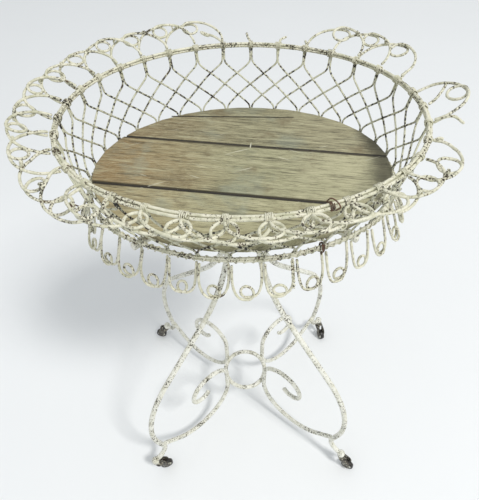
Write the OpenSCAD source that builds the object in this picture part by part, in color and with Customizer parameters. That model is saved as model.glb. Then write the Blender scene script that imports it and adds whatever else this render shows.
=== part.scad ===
// Oval wirework plant stand: a flared lattice basket with a looped border and a looped
// fringe, a plank floor, four scrolled rod legs, a stretcher ring and four small casters.
// Millimetres, +Z up. The origin is on the ground, under the middle of the basket.
// +X runs along the long axis of the basket and -Y is the front.

/* [Basket] */
// Length of the rim, between the centres of its middle hoop
rim_length = 444; // [400:1:540]
// Depth of the rim, between the centres of its middle hoop
rim_depth = 368; // [330:1:450]
// Height of the rim above the ground
rim_height = 780; // [740:1:960]
// Length of the base hoops
base_length = 412; // [370:1:500]
// Depth of the base hoops
base_depth = 302; // [270:1:370]
// Height of the top of the floor above the ground
floor_height = 700; // [640:1:710]
// Number of wire ties round the rim, and round the base
tie_count = 34; // [24:2:40]

/* [Wire] */
// Thickness of the rim and base hoops
hoop_wire = 3.6; // [3:0.1:5]
// Thickness of the lattice wires
lattice_wire = 2.6; // [2:0.1:3.2]
// Thickness of the border and fringe wires
loop_wire = 3.4; // [2.4:0.1:4]
// Wall of the binding round each tie
tie_wall = 1; // [0.6:0.1:1.6]
// Length of each rim and base tie
tie_length = 7; // [5:0.5:10]

/* [Border and fringe] */
// How far the border reaches from the rim, measured up its slope
border_reach = 50; // [42:1:66]
// How far it reaches at the front, where it was bent back
front_reach = 34; // [32:1:60]
// Slope of the border above the horizontal
border_slope = 22; // [0:1:45]
// Slope of the border at the front
front_slope = 9; // [0:1:45]
// Radius of the ring at the tip of each border loop
border_ring = 10.5; // [7:0.5:12]
// How far the fringe hangs below the base hoops
fringe_drop = 53; // [45:1:75]
// Lean of the fringe out from the vertical
fringe_lean = 20; // [0:1:30]
// Radius of the ring at the tip of each fringe loop
fringe_ring = 8; // [5:0.5:9]

/* [Floor] */
// Thickness of the floor boards
board_thick = 12; // [8:1:18]
// Thickness of the battens under the boards
batten_thick = 10; // [8:1:16]
// Width of the battens
batten_width = 32; // [24:1:45]
// Distance of each batten from the middle
batten_offset = 105; // [80:1:120]
// Place of the seam between the front and middle boards
front_seam = -60; // [-80:1:-40]
// Width of the middle board
middle_board = 106; // [85:1:120]
// Skew of the boards to the long axis
board_skew = -10.5; // [-14:0.5:0]
// Gap between two boards
board_gap = 3; // [1:0.5:4]
// Clearance between the floor and the lattice
floor_clear = 2.5; // [1.5:0.5:6]

/* [Legs] */
// Thickness of the leg rods
leg_rod = 10; // [8:0.5:12]
// Thickness of the scrolled stretcher rods
arm_rod = 9; // [7:0.5:10]
// Angle of each leg's plane from the long axis
leg_angle = 40.4; // [35:0.1:46]
// Distance of the legs' waist from the middle
waist_radius = 30; // [22:1:40]
// Distance of each caster pin from the middle
pin_radius = 262; // [250:1:320]
// Height of the underside of the toes
toe_height = 46; // [43:0.5:56]

/* [Stretcher] */
// Radius of the stretcher ring, to the middle of its rod
ring_radius = 44; // [34:1:56]
// Height of the stretcher ring
ring_height = 124; // [110:1:150]
// Thickness of the stretcher ring's rod
ring_rod = 9; // [7:0.5:10]

/* [Casters] */
// Diameter of the wheel
wheel_d = 26; // [22:1:28]
// Width of the wheel
wheel_w = 10; // [8:0.5:12]
// Distance of the wheel's axle behind the swivel pin
trail = 20; // [17:1:24]
// Diameter of the axle
axle_d = 4; // [3:0.5:5]
// Diameter of the swivel pin
pin_d = 6; // [5:0.5:7]
// Wall of the fork's cheeks
cheek = 2; // [1.5:0.25:3]
// Radial clearance of each running fit
running_gap = 0.08; // [0.04:0.01:0.1]
// Clearance between parts that turn past each other
turn_gap = 0.6; // [0.4:0.1:1]

/* [Hidden] */
$fn = 48;
touch = 0.06;      // gap between two fixed pieces that meet
tie_hole = 0.3;    // gap round the wires inside a tie
loop_sides = 5;    // faces round a border or fringe wire
loop_steps = 5;    // bends in each half of a loop
ring_steps = 9;    // bends in the ring of a loop
tie_step = 360 / tie_count;
bead_h = 0.8;      // weld bead where two lengths of rod meet
bead_proud = 0.12;

hoop_step = hoop_wire + touch;
rim_bundle = 0.58 * hoop_step;              // strands to the middle of the rim bundle
tie_in = rim_bundle + hoop_wire / 2 + tie_hole;
tie_out = tie_in + tie_wall;

bearer_top = floor_height - board_thick - batten_thick - 2 * touch;
bearer_z = bearer_top - leg_rod / 2;
base_z = bearer_top + hoop_step;            // between the two base hoops
base_tie_in = hoop_step / 2 + hoop_wire / 2 + tie_hole;
base_tie_out = base_tie_in + tie_wall;

seat_half_l = base_length / 2 - hoop_wire - floor_clear;
seat_half_d = base_depth / 2 - hoop_wire - floor_clear;
facets = 30;                                // straight cuts round the floor
board_bottom = floor_height - board_thick;
nail_d = 3;
nail_head = 6.5;
nail_head_h = 1.2;
nail_gap = 0.03;
staple_wire = 2.4;
staple_span = 11;
staple_x = 14;
staple_leg = 7;
staple_gap = 0.1;   // gap between the staple and its groove

fork_plate = 3;
fork_top = toe_height - turn_gap;
fork_bottom = fork_top - fork_plate;
boss_d = pin_d + 7;
axle_z = wheel_d / 2;
slot_half = wheel_w / 2 + turn_gap;
pin_head_d = pin_d + 5;
pin_head_h = 2;
eye_d = 15;                                 // eye of the toe, round the pin
eye_h = leg_rod + 1;
toe_z = toe_height + eye_h / 2;

// The bends of a leg in its own upright plane, outwards and upwards from the middle axis.
// Each step is [length, 0] for a straight run or [radius, turn] for a bend.
knee_turn = 43;
shin_turn = 57;
toe_turn = 94;
shoulder = 30;
thigh_radius = 265;
shin_radius = 205;
ankle_radius = 30;
toe_dip = knee_turn - shin_turn + toe_turn - 90;   // heading of the toe
toe_run = 8;
toe_past = 3;       // the toe's rod runs this far past the pin, inside its eye
ankle_run = 31;
// widths that the bends take up, and the straight runs that bring the toe to its place
thigh_out = thigh_radius * (1 - cos(knee_turn));
thigh_down = thigh_radius * sin(knee_turn);
lean = knee_turn - 90;                              // heading of the straight shin
ankle_lean = lean - shin_turn;
shin_out = shin_radius * (sin(ankle_lean) - sin(lean)) * -1;
shin_down = shin_radius * (cos(lean) - cos(ankle_lean));
foot_out = ankle_radius * (sin(toe_dip) - sin(ankle_lean));
foot_down = ankle_radius * (cos(toe_dip) - cos(ankle_lean));
fixed_out = thigh_out + shin_out + foot_out + ankle_run * cos(ankle_lean) + toe_run * cos(toe_dip);
shin_run = (pin_radius + toe_past - waist_radius - fixed_out) / cos(lean);
fixed_down = shoulder + thigh_down + shin_down + foot_down - shin_run * sin(lean)
    - ankle_run * sin(ankle_lean) - toe_run * sin(toe_dip);
waist_run = bearer_z - toe_z - fixed_down;
bearer_end = oval_reach(base_length / 2, base_depth / 2, leg_angle) + hoop_wire;
leg_steps = [
    [bearer_end - waist_radius - shoulder, 0],
    [shoulder, 90],
    [waist_run, 0],
    [thigh_radius, knee_turn],
    [shin_run, 0],
    [shin_radius, -shin_turn],
    [ankle_run, 0],
    [ankle_radius, toe_turn],
    [toe_run, 0]
];

// The scroll of a stretcher rod, from its tip back to the leg.
bow_radius = 84;
bow_turn = 133;
neck_run = 48;
scroll_radius = 45;
curl_radius = 20;
curl_turn = 150;
arm_line = ring_radius + ring_rod / 2 + arm_rod / 2 + touch;
arm_reach = 54;
arm_steps = [
    [arm_reach, 0],
    [bow_radius, -bow_turn],
    [neck_run, 0],
    [scroll_radius, -180],
    [curl_radius, -curl_turn]
];
arm_heading = bow_turn - 270;
arm_start = [
    arm_line + bow_radius + bow_radius * sin(arm_heading) * -1 - arm_reach * cos(arm_heading),
    ring_height + bow_radius * cos(arm_heading) - arm_reach * sin(arm_heading)
];

// Border loops that are broken off, counted from the right end towards the back. Each one
// leaves a stub of the given length at its tie.
BROKEN = [1, 2, 6, 7, 8, 9, 32, 33];
STUBS = [[2, 9], [6, 9], [7, 13], [8, 12], [9, 14], [32, 8], [33, 30]];

// Plane of each leg round the middle axis, and the way its caster happens to trail.
FRONT_LEFT = [180 + leg_angle, 20];
FRONT_RIGHT = [-leg_angle, -30];
BACK_LEFT = [180 - leg_angle, 170];
BACK_RIGHT = [leg_angle, -70];

// ---- oval of four arcs -------------------------------------------------------------
// a and b are half the length and half the depth. The arcs meet without a kink.
function end_r(a, b) = let(c = norm([a, b])) (c - (a - b)) * c / (2 * a);
function side_r(a, b) = let(c = norm([a, b])) (c + (a - b)) * c / (2 * b);
function end_x(a, b) = a - end_r(a, b);
function side_y(a, b) = side_r(a, b) - b;
function joint_angle(a, b) = atan2(side_y(a, b), end_x(a, b));

// Distance from the middle to the oval in one direction.
function oval_reach(a, b, angle) =
    let(
        u = abs(cos(angle)), v = abs(sin(angle)),
        r1 = end_r(a, b), r2 = side_r(a, b), x1 = end_x(a, b), y2 = side_y(a, b),
        j = joint_angle(a, b),
        on_end = atan2(v, u) < atan2(r1 * sin(j), x1 + r1 * cos(j))
    )
    on_end ? x1 * u + sqrt(r1 * r1 - pow(x1 * v, 2))
           : -y2 * v + sqrt(r2 * r2 - pow(y2 * u, 2));

// Direction of tie number k as seen from the middle of an oval, and its point on it.
function tie_angle(a, b, k) = atan2(b * sin(k * tie_step), a * cos(k * tie_step));
function oval_point(a, b, k) =
    let(angle = tie_angle(a, b, k), reach = oval_reach(a, b, angle))
    [reach * cos(angle), reach * sin(angle)];

// Direction that faces straight out of the oval at tie number k.
function oval_facing(a, b, k) =
    let(p = oval_point(a, b, k + 0.01) - oval_point(a, b, k - 0.01))
    atan2(-p[0], p[1]);

// An arc of a round rod in the XY plane, from angle a to angle b, with a bead at its start.
module rod_arc(r, a, b, d) rotate(a) {
    rotate_extrude(angle = b - a) translate([r, 0]) circle(d = d);
    translate([r, 0, 0]) rotate([90, 0, 0]) cylinder(h = bead_h, d = d + bead_proud, center = true);
}

module oval_hoop(a, b, z, wire) {
    j = joint_angle(a, b);
    translate([0, 0, z]) for (side = [0, 180]) rotate(side) {
        translate([end_x(a, b), 0, 0]) rod_arc(end_r(a, b), -j, j, wire);
        translate([0, -side_y(a, b), 0]) rod_arc(side_r(a, b), j, 180 - j, wire);
    }
}

// ---- rim and base ------------------------------------------------------------------
module rim_hoop(out, up) {
    color("ivory")
        oval_hoop(rim_length / 2 + out, rim_depth / 2 + out, rim_height + up, hoop_wire);
}

module rim_hoop_outer() rim_hoop(rim_bundle, 0);
module rim_hoop_top() rim_hoop(-rim_bundle * 0.5, hoop_step / 2);
module rim_hoop_bottom() rim_hoop(-rim_bundle * 0.5, -hoop_step / 2);
module base_hoop_upper() color("ivory")
    oval_hoop(base_length / 2, base_depth / 2, base_z + hoop_step / 2, hoop_wire);
module base_hoop_lower() color("ivory")
    oval_hoop(base_length / 2, base_depth / 2, base_z - hoop_step / 2, hoop_wire);

// One tie: a sleeve of wound wire round the hoops that run through it.
module tie(a, b, z, k, r_in, r_out) {
    p = oval_point(a, b, k);
    translate([p[0], p[1], z]) rotate(oval_facing(a, b, k)) rotate([90, 0, 0])
        difference() {
            cylinder(h = tie_length, r = r_out, center = true);
            cylinder(h = tie_length + 1, r = r_in, center = true);
        }
}

module rim_ties() color("ivory")
    for (k = [0 : tie_count - 1])
        tie(rim_length / 2, rim_depth / 2, rim_height, k, tie_in, tie_out);

module base_ties() color("ivory")
    for (k = [0 : tie_count - 1])
        tie(base_length / 2, base_depth / 2, base_z, k, base_tie_in, base_tie_out);

// ---- lattice -----------------------------------------------------------------------
end_gap = 0.5;      // from the slanted end of a lattice wire to its tie
cross_gap = 0.45;   // from the middle surface of the wall to a lattice wire, on either side
lattice_top = rim_height - tie_out - end_gap;
lattice_bottom = base_z + base_tie_out + end_gap;
stub_top = 16;      // straight drop below the rim before the wires part
stub_bottom = 10;   // straight rise above the base
slant_bends = 3;    // straight lengths that take a slanted wire round the wall

// Point of the basket's wall under tie k, shifted sideways by s and outwards by o.
function wall_point(k, z, s, o) =
    let(
        t = (z - lattice_bottom) / (lattice_top - lattice_bottom),
        a = (base_length + t * (rim_length - base_length)) / 2,
        b = (base_depth + t * (rim_depth - base_depth)) / 2,
        p = oval_point(a, b, k), f = oval_facing(a, b, k)
    )
    [p[0] + o * cos(f) - s * sin(f), p[1] + o * sin(f) + s * cos(f), z];

module rod_between(p, q, d) {
    v = q - p;
    translate(p) rotate([0, acos(v[2] / norm(v)), atan2(v[1], v[0])]) cylinder(h = norm(v), d = d);
}

// A lattice wire leaves tie k, drops, slants round the wall to tie k + 2 * way and drops again.
module lattice_wire_from(k, way) {
    side = way * (lattice_wire / 2 + touch);
    lift = way * (lattice_wire / 2 + cross_gap);
    slant_top = lattice_top - stub_top;
    slant_fall = slant_top - lattice_bottom - stub_bottom;
    points = [
        wall_point(k, lattice_top, side, 0),
        for (i = [0 : slant_bends]) let(f = i / slant_bends)
            wall_point(k + 2 * way * f, slant_top - slant_fall * f, side * (1 - 2 * f), lift),
        wall_point(k + 2 * way, lattice_bottom, -side, 0)
    ];
    for (i = [0 : slant_bends + 1]) rod_between(points[i], points[i + 1], lattice_wire);
    for (i = [1 : slant_bends + 1]) translate(points[i]) sphere(d = lattice_wire * 1.06, $fn = 24);
}

module lattice_wires_leaning_right() color("ivory")
    for (k = [0 : tie_count - 1]) lattice_wire_from(k, 1);

module lattice_wires_leaning_left() color("ivory")
    for (k = [0 : tie_count - 1]) lattice_wire_from(k, -1);

// ---- looped wires ------------------------------------------------------------------
// Skin of a wire that follows points. Its faces keep their turn to the normal n.
module bent_wire(points, n, d) {
    count = len(points);
    rings = [for (i = [0 : count - 1])
        let(
            t = points[min(i + 1, count - 1)] - points[max(i - 1, 0)],
            b = cross(t, n) / norm(cross(t, n)),
            m = cross(b, t) / norm(t)
        )
        for (s = [0 : loop_sides - 1])
            points[i] + d / 2 * (cos(s * 360 / loop_sides) * m + sin(s * 360 / loop_sides) * b)
    ];
    sides = [for (i = [0 : count - 2], s = [0 : loop_sides - 1])
        let(a = i * loop_sides + s, b = i * loop_sides + (s + 1) % loop_sides)
        each [[a, b, b + loop_sides], [a, b + loop_sides, a + loop_sides]]
    ];
    first = [[for (s = [loop_sides - 1 : -1 : 0]) s]];
    last = [[for (s = [0 : loop_sides - 1]) (count - 1) * loop_sides + s]];
    polyhedron(rings, concat(sides, first, last));
}

// Path of a loop laid flat: a U of the given half width and reach whose tip holds a full
// ring. x runs along the hoop in tie pitches, y outwards and z is the height of the wire.
function loop_path(half, reach, start, ring, ring_x, swell, leg_lift, tip_lift) = concat(
    [for (i = [0 : loop_steps - 1])
        let(f = i * 90 / loop_steps)
        [-half * pow(cos(f), swell), start + (reach - start) * pow(sin(f), swell),
            f < 60 ? leg_lift : leg_lift + (tip_lift - leg_lift) * (f - 60) / 30]],
    [for (i = [0 : ring_steps])
        let(f = i * 360 / ring_steps)
        [ring_x * sin(f), reach - ring + ring * cos(f), tip_lift * (1 - 2 * i / ring_steps)]],
    [for (i = [loop_steps - 1 : -1 : 0])
        let(f = i * 90 / loop_steps)
        [half * pow(cos(f), swell), start + (reach - start) * pow(sin(f), swell),
            f < 60 ? -leg_lift : -leg_lift - (tip_lift - leg_lift) * (f - 60) / 30]]
);

// Wraps a flat path round tie k of a hoop: along the hoop, up the slope, off the slope. The
// slope is slopes[0], but slopes[1] at the front.
function set_up(path, a, b, k, z, slopes) = [for (q = path)
    let(
        p = oval_point(a, b, k + q[0]), f = oval_facing(a, b, k + q[0]),
        slope = slopes[0] + (slopes[1] - slopes[0]) * frontness(k + q[0]),
        up_slope = [cos(slope) * cos(f), cos(slope) * sin(f), sin(slope)]
    )
    [p[0], p[1], z] + q[1] * up_slope + q[2] * off_slope_at(a, b, k + q[0], slope)];

// Distance between two ties, measured at tie k and the given distance outside the hoop.
function pitch_at(a, b, k, out) =
    let(
        p = oval_point(a, b, k + 0.5), q = oval_point(a, b, k - 0.5),
        f = oval_facing(a, b, k + 0.5), g = oval_facing(a, b, k - 0.5)
    )
    norm(p - q + out * [cos(f) - cos(g), sin(f) - sin(g)]);

function off_slope_at(a, b, k, slope) =
    let(f = oval_facing(a, b, k), along = [-sin(f), cos(f), 0], out = [cos(f), sin(f), 0])
    cross(along, cos(slope) * out + sin(slope) * [0, 0, 1]);

border_start = tie_out + touch + loop_wire / 2;
loop_lift = 0.5 * loop_wire + 0.15;
function is_broken(k) = len(search(k, BROKEN)) > 0;

// Reach and slope of the border at tie k. Both change gently towards the front.
function frontness(k) = pow(max(0, -sin(k * tie_step)), 2);
function reach_at(k) = border_reach + (front_reach - border_reach) * frontness(k);
function slope_at(k) = border_slope + (front_slope - border_slope) * frontness(k);
border_slopes = [border_slope, front_slope];

// Each border loop stands over one tie and springs from the two beside it.
module border_loops() color("ivory")
    for (k = [0 : tie_count - 1]) if (!is_broken(k)) {
        ring_out = (reach_at(k) - border_ring) * cos(slope_at(k));
        ring_x = border_ring / pitch_at(rim_length / 2, rim_depth / 2, k, ring_out);
        bent_wire(
            set_up(
                loop_path(1, reach_at(k), border_start, border_ring, ring_x, 1,
                    2.6 * loop_lift, loop_lift),
                rim_length / 2, rim_depth / 2, k, rim_height, border_slopes),
            off_slope_at(rim_length / 2, rim_depth / 2, k, slope_at(k)), loop_wire);
    }

// Stubs where broken loops still leave their ties, drawn to one side of the whole loops.
module border_stubs() color("saddlebrown")
    for (stub = STUBS) {
        path = [[0, border_start, 0], [0, border_start + stub[1], 0]];
        ends = set_up(path, rim_length / 2, rim_depth / 2, stub[0], rim_height, border_slopes);
        rod_between(ends[0], ends[1], loop_wire);
    }

// Knots where each border loop crosses the next, half way between two ties.
knot_d = 4;
knot_half = 2.6 * loop_lift - loop_wire / 2 - 0.4;
module border_knots() color("ivory")
    for (k = [0 : tie_count - 1]) if (!is_broken(k) && !is_broken((k + 1) % tie_count)) {
        knot_reach = border_start + (reach_at(k + 0.5) - border_start) * sin(60);
        path = [[0, knot_reach, -knot_half], [0, knot_reach, knot_half]];
        ends = set_up(path, rim_length / 2, rim_depth / 2, k + 0.5, rim_height, border_slopes);
        rod_between(ends[0], ends[1], knot_d);
    }

fringe_start = base_tie_out + touch + loop_wire / 2;
fringe_lift = 0.5 * loop_wire + 0.55;
fringe_slope = fringe_lean - 90;
// Each fringe loop hangs between two base ties and leaves room there for the next loop.
module fringe_loops() color("ivory")
    for (k = [0 : tie_count - 1]) {
        pitch = pitch_at(base_length / 2, base_depth / 2, k + 0.5, 0);
        bent_wire(
            set_up(
                loop_path(0.5 - 0.7 * loop_wire / pitch, fringe_drop, fringe_start, fringe_ring,
                    fringe_ring / pitch, 0.6, fringe_lift, fringe_lift),
                base_length / 2, base_depth / 2, k + 0.5, base_z, [fringe_slope, fringe_slope]),
            off_slope_at(base_length / 2, base_depth / 2, k + 0.5, fringe_slope), loop_wire);
    }

// ---- floor -------------------------------------------------------------------------
module floor_outline() polygon([for (i = [0 : facets - 1])
    [seat_half_l * cos((i + 0.5) * 360 / facets), seat_half_d * sin((i + 0.5) * 360 / facets)]]);

module board(from, to) difference() {
    translate([0, 0, board_bottom]) linear_extrude(board_thick) intersection() {
        floor_outline();
        rotate(board_skew) translate([-rim_length, from]) square([2 * rim_length, to - from]);
    }
    nails(nail_gap);
    staple(staple_gap);
}

back_seam = front_seam + middle_board + board_gap;
module floor_board_front() color("tan") board(-rim_depth, front_seam);
module floor_board_middle() color("tan") board(front_seam + board_gap, back_seam - board_gap);
module floor_board_back() color("tan") board(back_seam, rim_depth);

module batten(side) difference() {
    half = seat_half_d * sqrt(1 - pow((batten_offset + batten_width / 2) / seat_half_l, 2)) - 6;
    translate([side * batten_offset - batten_width / 2, -half, board_bottom - batten_thick - touch])
        cube([batten_width, 2 * half, batten_thick]);
    nails(nail_gap);
}
module batten_left() color("peru") batten(-1);
module batten_right() color("peru") batten(1);

// Two nails hold each board to each batten. They are driven from below and stay short of the
// top of the floor.
nail_rows = [
    [front_seam - 36, front_seam - 14],
    [front_seam + board_gap + 18, back_seam - board_gap - 18],
    [back_seam + 16, back_seam + 42]
];
nail_cover = 3;     // wood left over the tip of a nail
module nails(gap) for (side = [-1, 1], row = nail_rows, y = row) {
    x = side * batten_offset + (y == row[0] ? -6 : 6);
    batten_under = board_bottom - touch - batten_thick;
    translate([x, y / cos(board_skew) + x * tan(board_skew), 0]) {
        translate([0, 0, batten_under - gap])
            cylinder(h = floor_height - nail_cover - batten_under + 2 * gap, d = nail_d + 2 * gap);
        translate([0, 0, batten_under - gap])
            cylinder(h = nail_head_h + 2 * gap, d = nail_head + 2 * gap);
    }
}
module floor_nails() color("dimgray") nails(0);

// Wire staple across the back seam, sunk flush in a groove.
module staple(gap) {
    y = (back_seam - board_gap / 2) / cos(board_skew) + staple_x * tan(board_skew);
    wide = staple_wire + 2 * gap;
    translate([staple_x, y, floor_height - staple_wire / 2 - touch]) rotate(board_skew + 90) {
        for (end = [-1, 1]) translate([end * staple_span / 2, 0, -staple_leg])
            cylinder(h = staple_leg, d = wide);
        translate([-staple_span / 2, 0, 0]) rotate([0, 90, 0]) cylinder(h = staple_span, d = wide);
        for (end = [-1, 1]) translate([end * staple_span / 2, 0, 0]) sphere(d = wide * 1.04);
        if (gap > 0) translate([-(staple_span + wide) / 2, -wide / 2, 0])
            cube([staple_span + wide, wide, staple_wire]);
    }
}
module seam_staple() color("ivory") staple(0);

// ---- legs and stretcher ------------------------------------------------------------
// A rod that follows steps from the origin, heading along +X and turning about +Z.
module rod_run(steps, d, i = 0) {
    if (i < len(steps)) {
        size = steps[i][0];
        turn = steps[i][1];
        if (i > 0) rotate([0, 90, 0]) cylinder(h = bead_h, d = d + bead_proud, center = true);
        if (turn == 0) {
            rotate([0, 90, 0]) cylinder(h = size, d = d);
            translate([size, 0, 0]) rod_run(steps, d, i + 1);
        } else {
            way = turn > 0 ? 1 : -1;
            translate([0, way * size, 0]) rotate(way > 0 ? -90 : 90 + turn)
                rotate_extrude(angle = abs(turn)) translate([size, 0]) circle(d = d);
            translate([0, way * size, 0]) rotate(turn) translate([0, -way * size, 0])
                rod_run(steps, d, i + 1);
        }
    }
}

module in_leg_plane(corner) rotate(corner[0]) rotate([90, 0, 0]) children();

// The rod starts under the base hoops, runs inwards, drops to the waist and sweeps out.
module leg_path(d) translate([bearer_end, bearer_z, 0]) rotate(180) rod_run(leg_steps, d);

module leg(corner) color("ivory") difference() {
    union() {
        in_leg_plane(corner) leg_path(leg_rod);
        pin_place(corner) translate([0, 0, toe_z]) cylinder(h = eye_h, d = eye_d, center = true);
    }
    pin_place(corner) translate([0, 0, toe_height - 2]) cylinder(h = leg_rod + 6, d = pin_d + 2 * nail_gap);
}
module leg_front_left() leg(FRONT_LEFT);
module leg_front_right() leg(FRONT_RIGHT);
module leg_back_left() leg(BACK_LEFT);
module leg_back_right() leg(BACK_RIGHT);

// Wire collar that holds the four rods together at the waist.
collar_h = 16;
collar_wall = 2;
module waist_collar() color("ivory")
    translate([0, 0, bearer_z - shoulder - waist_run / 2]) difference() {
        cylinder(h = collar_h, r = waist_radius + leg_rod / 2 + touch + collar_wall, center = true);
        cylinder(h = collar_h + 1, r = waist_radius + leg_rod / 2 + touch, center = true);
    }

module scroll(corner) color("ivory") in_leg_plane(corner) difference() {
    translate([arm_start[0], arm_start[1], 0]) rotate(arm_heading) rod_run(arm_steps, arm_rod);
    leg_path(leg_rod + 2 * touch);
}
module scroll_front_left() scroll(FRONT_LEFT);
module scroll_front_right() scroll(FRONT_RIGHT);
module scroll_back_left() scroll(BACK_LEFT);
module scroll_back_right() scroll(BACK_RIGHT);

module stretcher_ring() color("ivory") translate([0, 0, ring_height])
    rotate_extrude() translate([ring_radius, 0]) circle(d = ring_rod);

// ---- casters -----------------------------------------------------------------------
module pin_place(corner) rotate(corner[0]) translate([pin_radius, 0, 0]) children();
module swivelled(corner) pin_place(corner) rotate(corner[1] - corner[0]) children();

// The pin is riveted in the toe. Its lower head carries the fork.
module caster_pin(corner) color("dimgray") pin_place(corner) {
    translate([0, 0, fork_bottom - turn_gap - pin_head_h]) cylinder(h = pin_head_h, d = pin_head_d);
    translate([0, 0, fork_bottom - turn_gap - pin_head_h / 2])
        cylinder(h = toe_z + eye_h / 2 + 3 - fork_bottom, d = pin_d);
}
module caster_pin_front_left() caster_pin(FRONT_LEFT);
module caster_pin_front_right() caster_pin(FRONT_RIGHT);
module caster_pin_back_left() caster_pin(BACK_LEFT);
module caster_pin_back_right() caster_pin(BACK_RIGHT);

// The fork: a round plate on the pin, and two cheeks that reach back to the axle.
module caster_fork(corner) color("dimgray") swivelled(corner) difference() {
    union() {
        translate([0, 0, fork_bottom]) cylinder(h = fork_plate, d = boss_d);
        translate([0, -slot_half - cheek, fork_bottom])
            cube([trail, 2 * (slot_half + cheek), fork_plate]);
        for (side = [-1, 1]) translate([0, side > 0 ? slot_half : -slot_half - cheek, 0]) {
            translate([trail - 6, 0, axle_z]) cube([12, cheek, fork_top - axle_z]);
            translate([trail, 0, axle_z]) rotate([-90, 0, 0]) cylinder(h = cheek, d = 12);
        }
    }
    translate([0, 0, fork_bottom - 1]) cylinder(h = fork_plate + 2, d = pin_d + 2 * running_gap);
    translate([trail, 0, axle_z]) rotate([90, 0, 0])
        cylinder(h = 4 * slot_half, d = axle_d + 2 * nail_gap, center = true);
}
module caster_fork_front_left() caster_fork(FRONT_LEFT);
module caster_fork_front_right() caster_fork(FRONT_RIGHT);
module caster_fork_back_left() caster_fork(BACK_LEFT);
module caster_fork_back_right() caster_fork(BACK_RIGHT);

module caster_axle(corner) color("dimgray") swivelled(corner)
    translate([trail, 0, axle_z]) rotate([90, 0, 0])
        cylinder(h = 2 * (slot_half + cheek) + 1.6, d = axle_d, center = true);
module caster_axle_front_left() caster_axle(FRONT_LEFT);
module caster_axle_front_right() caster_axle(FRONT_RIGHT);
module caster_axle_back_left() caster_axle(BACK_LEFT);
module caster_axle_back_right() caster_axle(BACK_RIGHT);

// The wheel has eased edges and a bore that runs on the axle.
tread_ease = 1.6;
module caster_wheel(corner) color("#2b2725") swivelled(corner)
    translate([trail, 0, axle_z]) rotate([90, 0, 0]) difference() {
        rotate_extrude() polygon([
            [0, -wheel_w / 2], [wheel_d / 2 - tread_ease, -wheel_w / 2],
            [wheel_d / 2, tread_ease - wheel_w / 2], [wheel_d / 2, wheel_w / 2 - tread_ease],
            [wheel_d / 2 - tread_ease, wheel_w / 2], [0, wheel_w / 2]
        ]);
        cylinder(h = wheel_w + 2, d = axle_d + 2 * running_gap, center = true);
    }
module caster_wheel_front_left() caster_wheel(FRONT_LEFT);
module caster_wheel_front_right() caster_wheel(FRONT_RIGHT);
module caster_wheel_back_left() caster_wheel(BACK_LEFT);
module caster_wheel_back_right() caster_wheel(BACK_RIGHT);

rim_hoop_outer();
rim_hoop_top();
rim_hoop_bottom();
rim_ties();
lattice_wires_leaning_right();
lattice_wires_leaning_left();
base_hoop_upper();
base_hoop_lower();
base_ties();
border_loops();
border_knots();
border_stubs();
fringe_loops();
floor_board_front();
floor_board_middle();
floor_board_back();
batten_left();
batten_right();
floor_nails();
seam_staple();
leg_front_left();
leg_front_right();
leg_back_left();
leg_back_right();
waist_collar();
scroll_front_left();
scroll_front_right();
scroll_back_left();
scroll_back_right();
stretcher_ring();
caster_pin_front_left();
caster_pin_front_right();
caster_pin_back_left();
caster_pin_back_right();
caster_fork_front_left();
caster_fork_front_right();
caster_fork_back_left();
caster_fork_back_right();
caster_axle_front_left();
caster_axle_front_right();
caster_axle_back_left();
caster_axle_back_right();
caster_wheel_front_left();
caster_wheel_front_right();
caster_wheel_back_left();
caster_wheel_back_right();
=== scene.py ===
"""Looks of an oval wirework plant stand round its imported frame. Metres, +Z up, -Y in front."""
import sys
import logging
import math
from dataclasses import dataclass, field
from enum import Enum
from functools import reduce

import bpy
import numpy as np
from mathutils import Matrix, Vector


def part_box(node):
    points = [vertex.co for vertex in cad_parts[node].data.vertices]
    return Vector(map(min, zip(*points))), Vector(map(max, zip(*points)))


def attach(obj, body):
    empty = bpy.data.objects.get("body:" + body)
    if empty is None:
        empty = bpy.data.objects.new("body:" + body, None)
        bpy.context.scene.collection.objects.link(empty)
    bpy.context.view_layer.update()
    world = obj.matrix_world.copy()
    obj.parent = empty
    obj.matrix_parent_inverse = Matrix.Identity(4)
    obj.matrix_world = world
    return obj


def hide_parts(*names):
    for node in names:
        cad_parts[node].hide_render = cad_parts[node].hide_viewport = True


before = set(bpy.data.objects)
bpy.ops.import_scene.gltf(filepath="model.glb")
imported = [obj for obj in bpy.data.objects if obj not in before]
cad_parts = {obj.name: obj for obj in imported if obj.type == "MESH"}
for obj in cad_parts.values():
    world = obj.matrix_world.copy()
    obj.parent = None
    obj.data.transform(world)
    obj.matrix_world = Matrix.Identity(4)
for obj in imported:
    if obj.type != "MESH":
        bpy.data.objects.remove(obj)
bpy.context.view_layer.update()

Array = np.ndarray
Triple = tuple[float, float, float]
Colour = Triple
Material = bpy.types.Material
Socket = bpy.types.NodeSocket
Feed = Socket | Colour | float
MM = 0.001
TIES = 34
HOOP_WIRE = 3.6 * MM
CLEAR = 0.06 * MM
PIN_RADIUS = 262 * MM
LEVEL = np.array([0.0, 0.0, 1.0])
log = logging.getLogger("plant_stand")


class Corner(Enum):
    """The four corners of the stand: the angle of the leg's plane and the way its caster trails."""

    FRONT_LEFT = ("front_left", 220.4, 20.0)
    FRONT_RIGHT = ("front_right", -40.4, -30.0)
    BACK_LEFT = ("back_left", 139.6, 170.0)
    BACK_RIGHT = ("back_right", 40.4, -70.0)

    @property
    def tag(self) -> str:
        """Name of the corner as the frame's nodes and bodies use it."""
        return self.value[0]

    @property
    def plane(self) -> float:
        """Angle of the leg's upright plane round the middle axis, in radians."""
        return math.radians(self.value[1])

    @property
    def trail_way(self) -> float:
        """Direction from the swivel pin to the wheel, in radians."""
        return math.radians(self.value[2])


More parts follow.
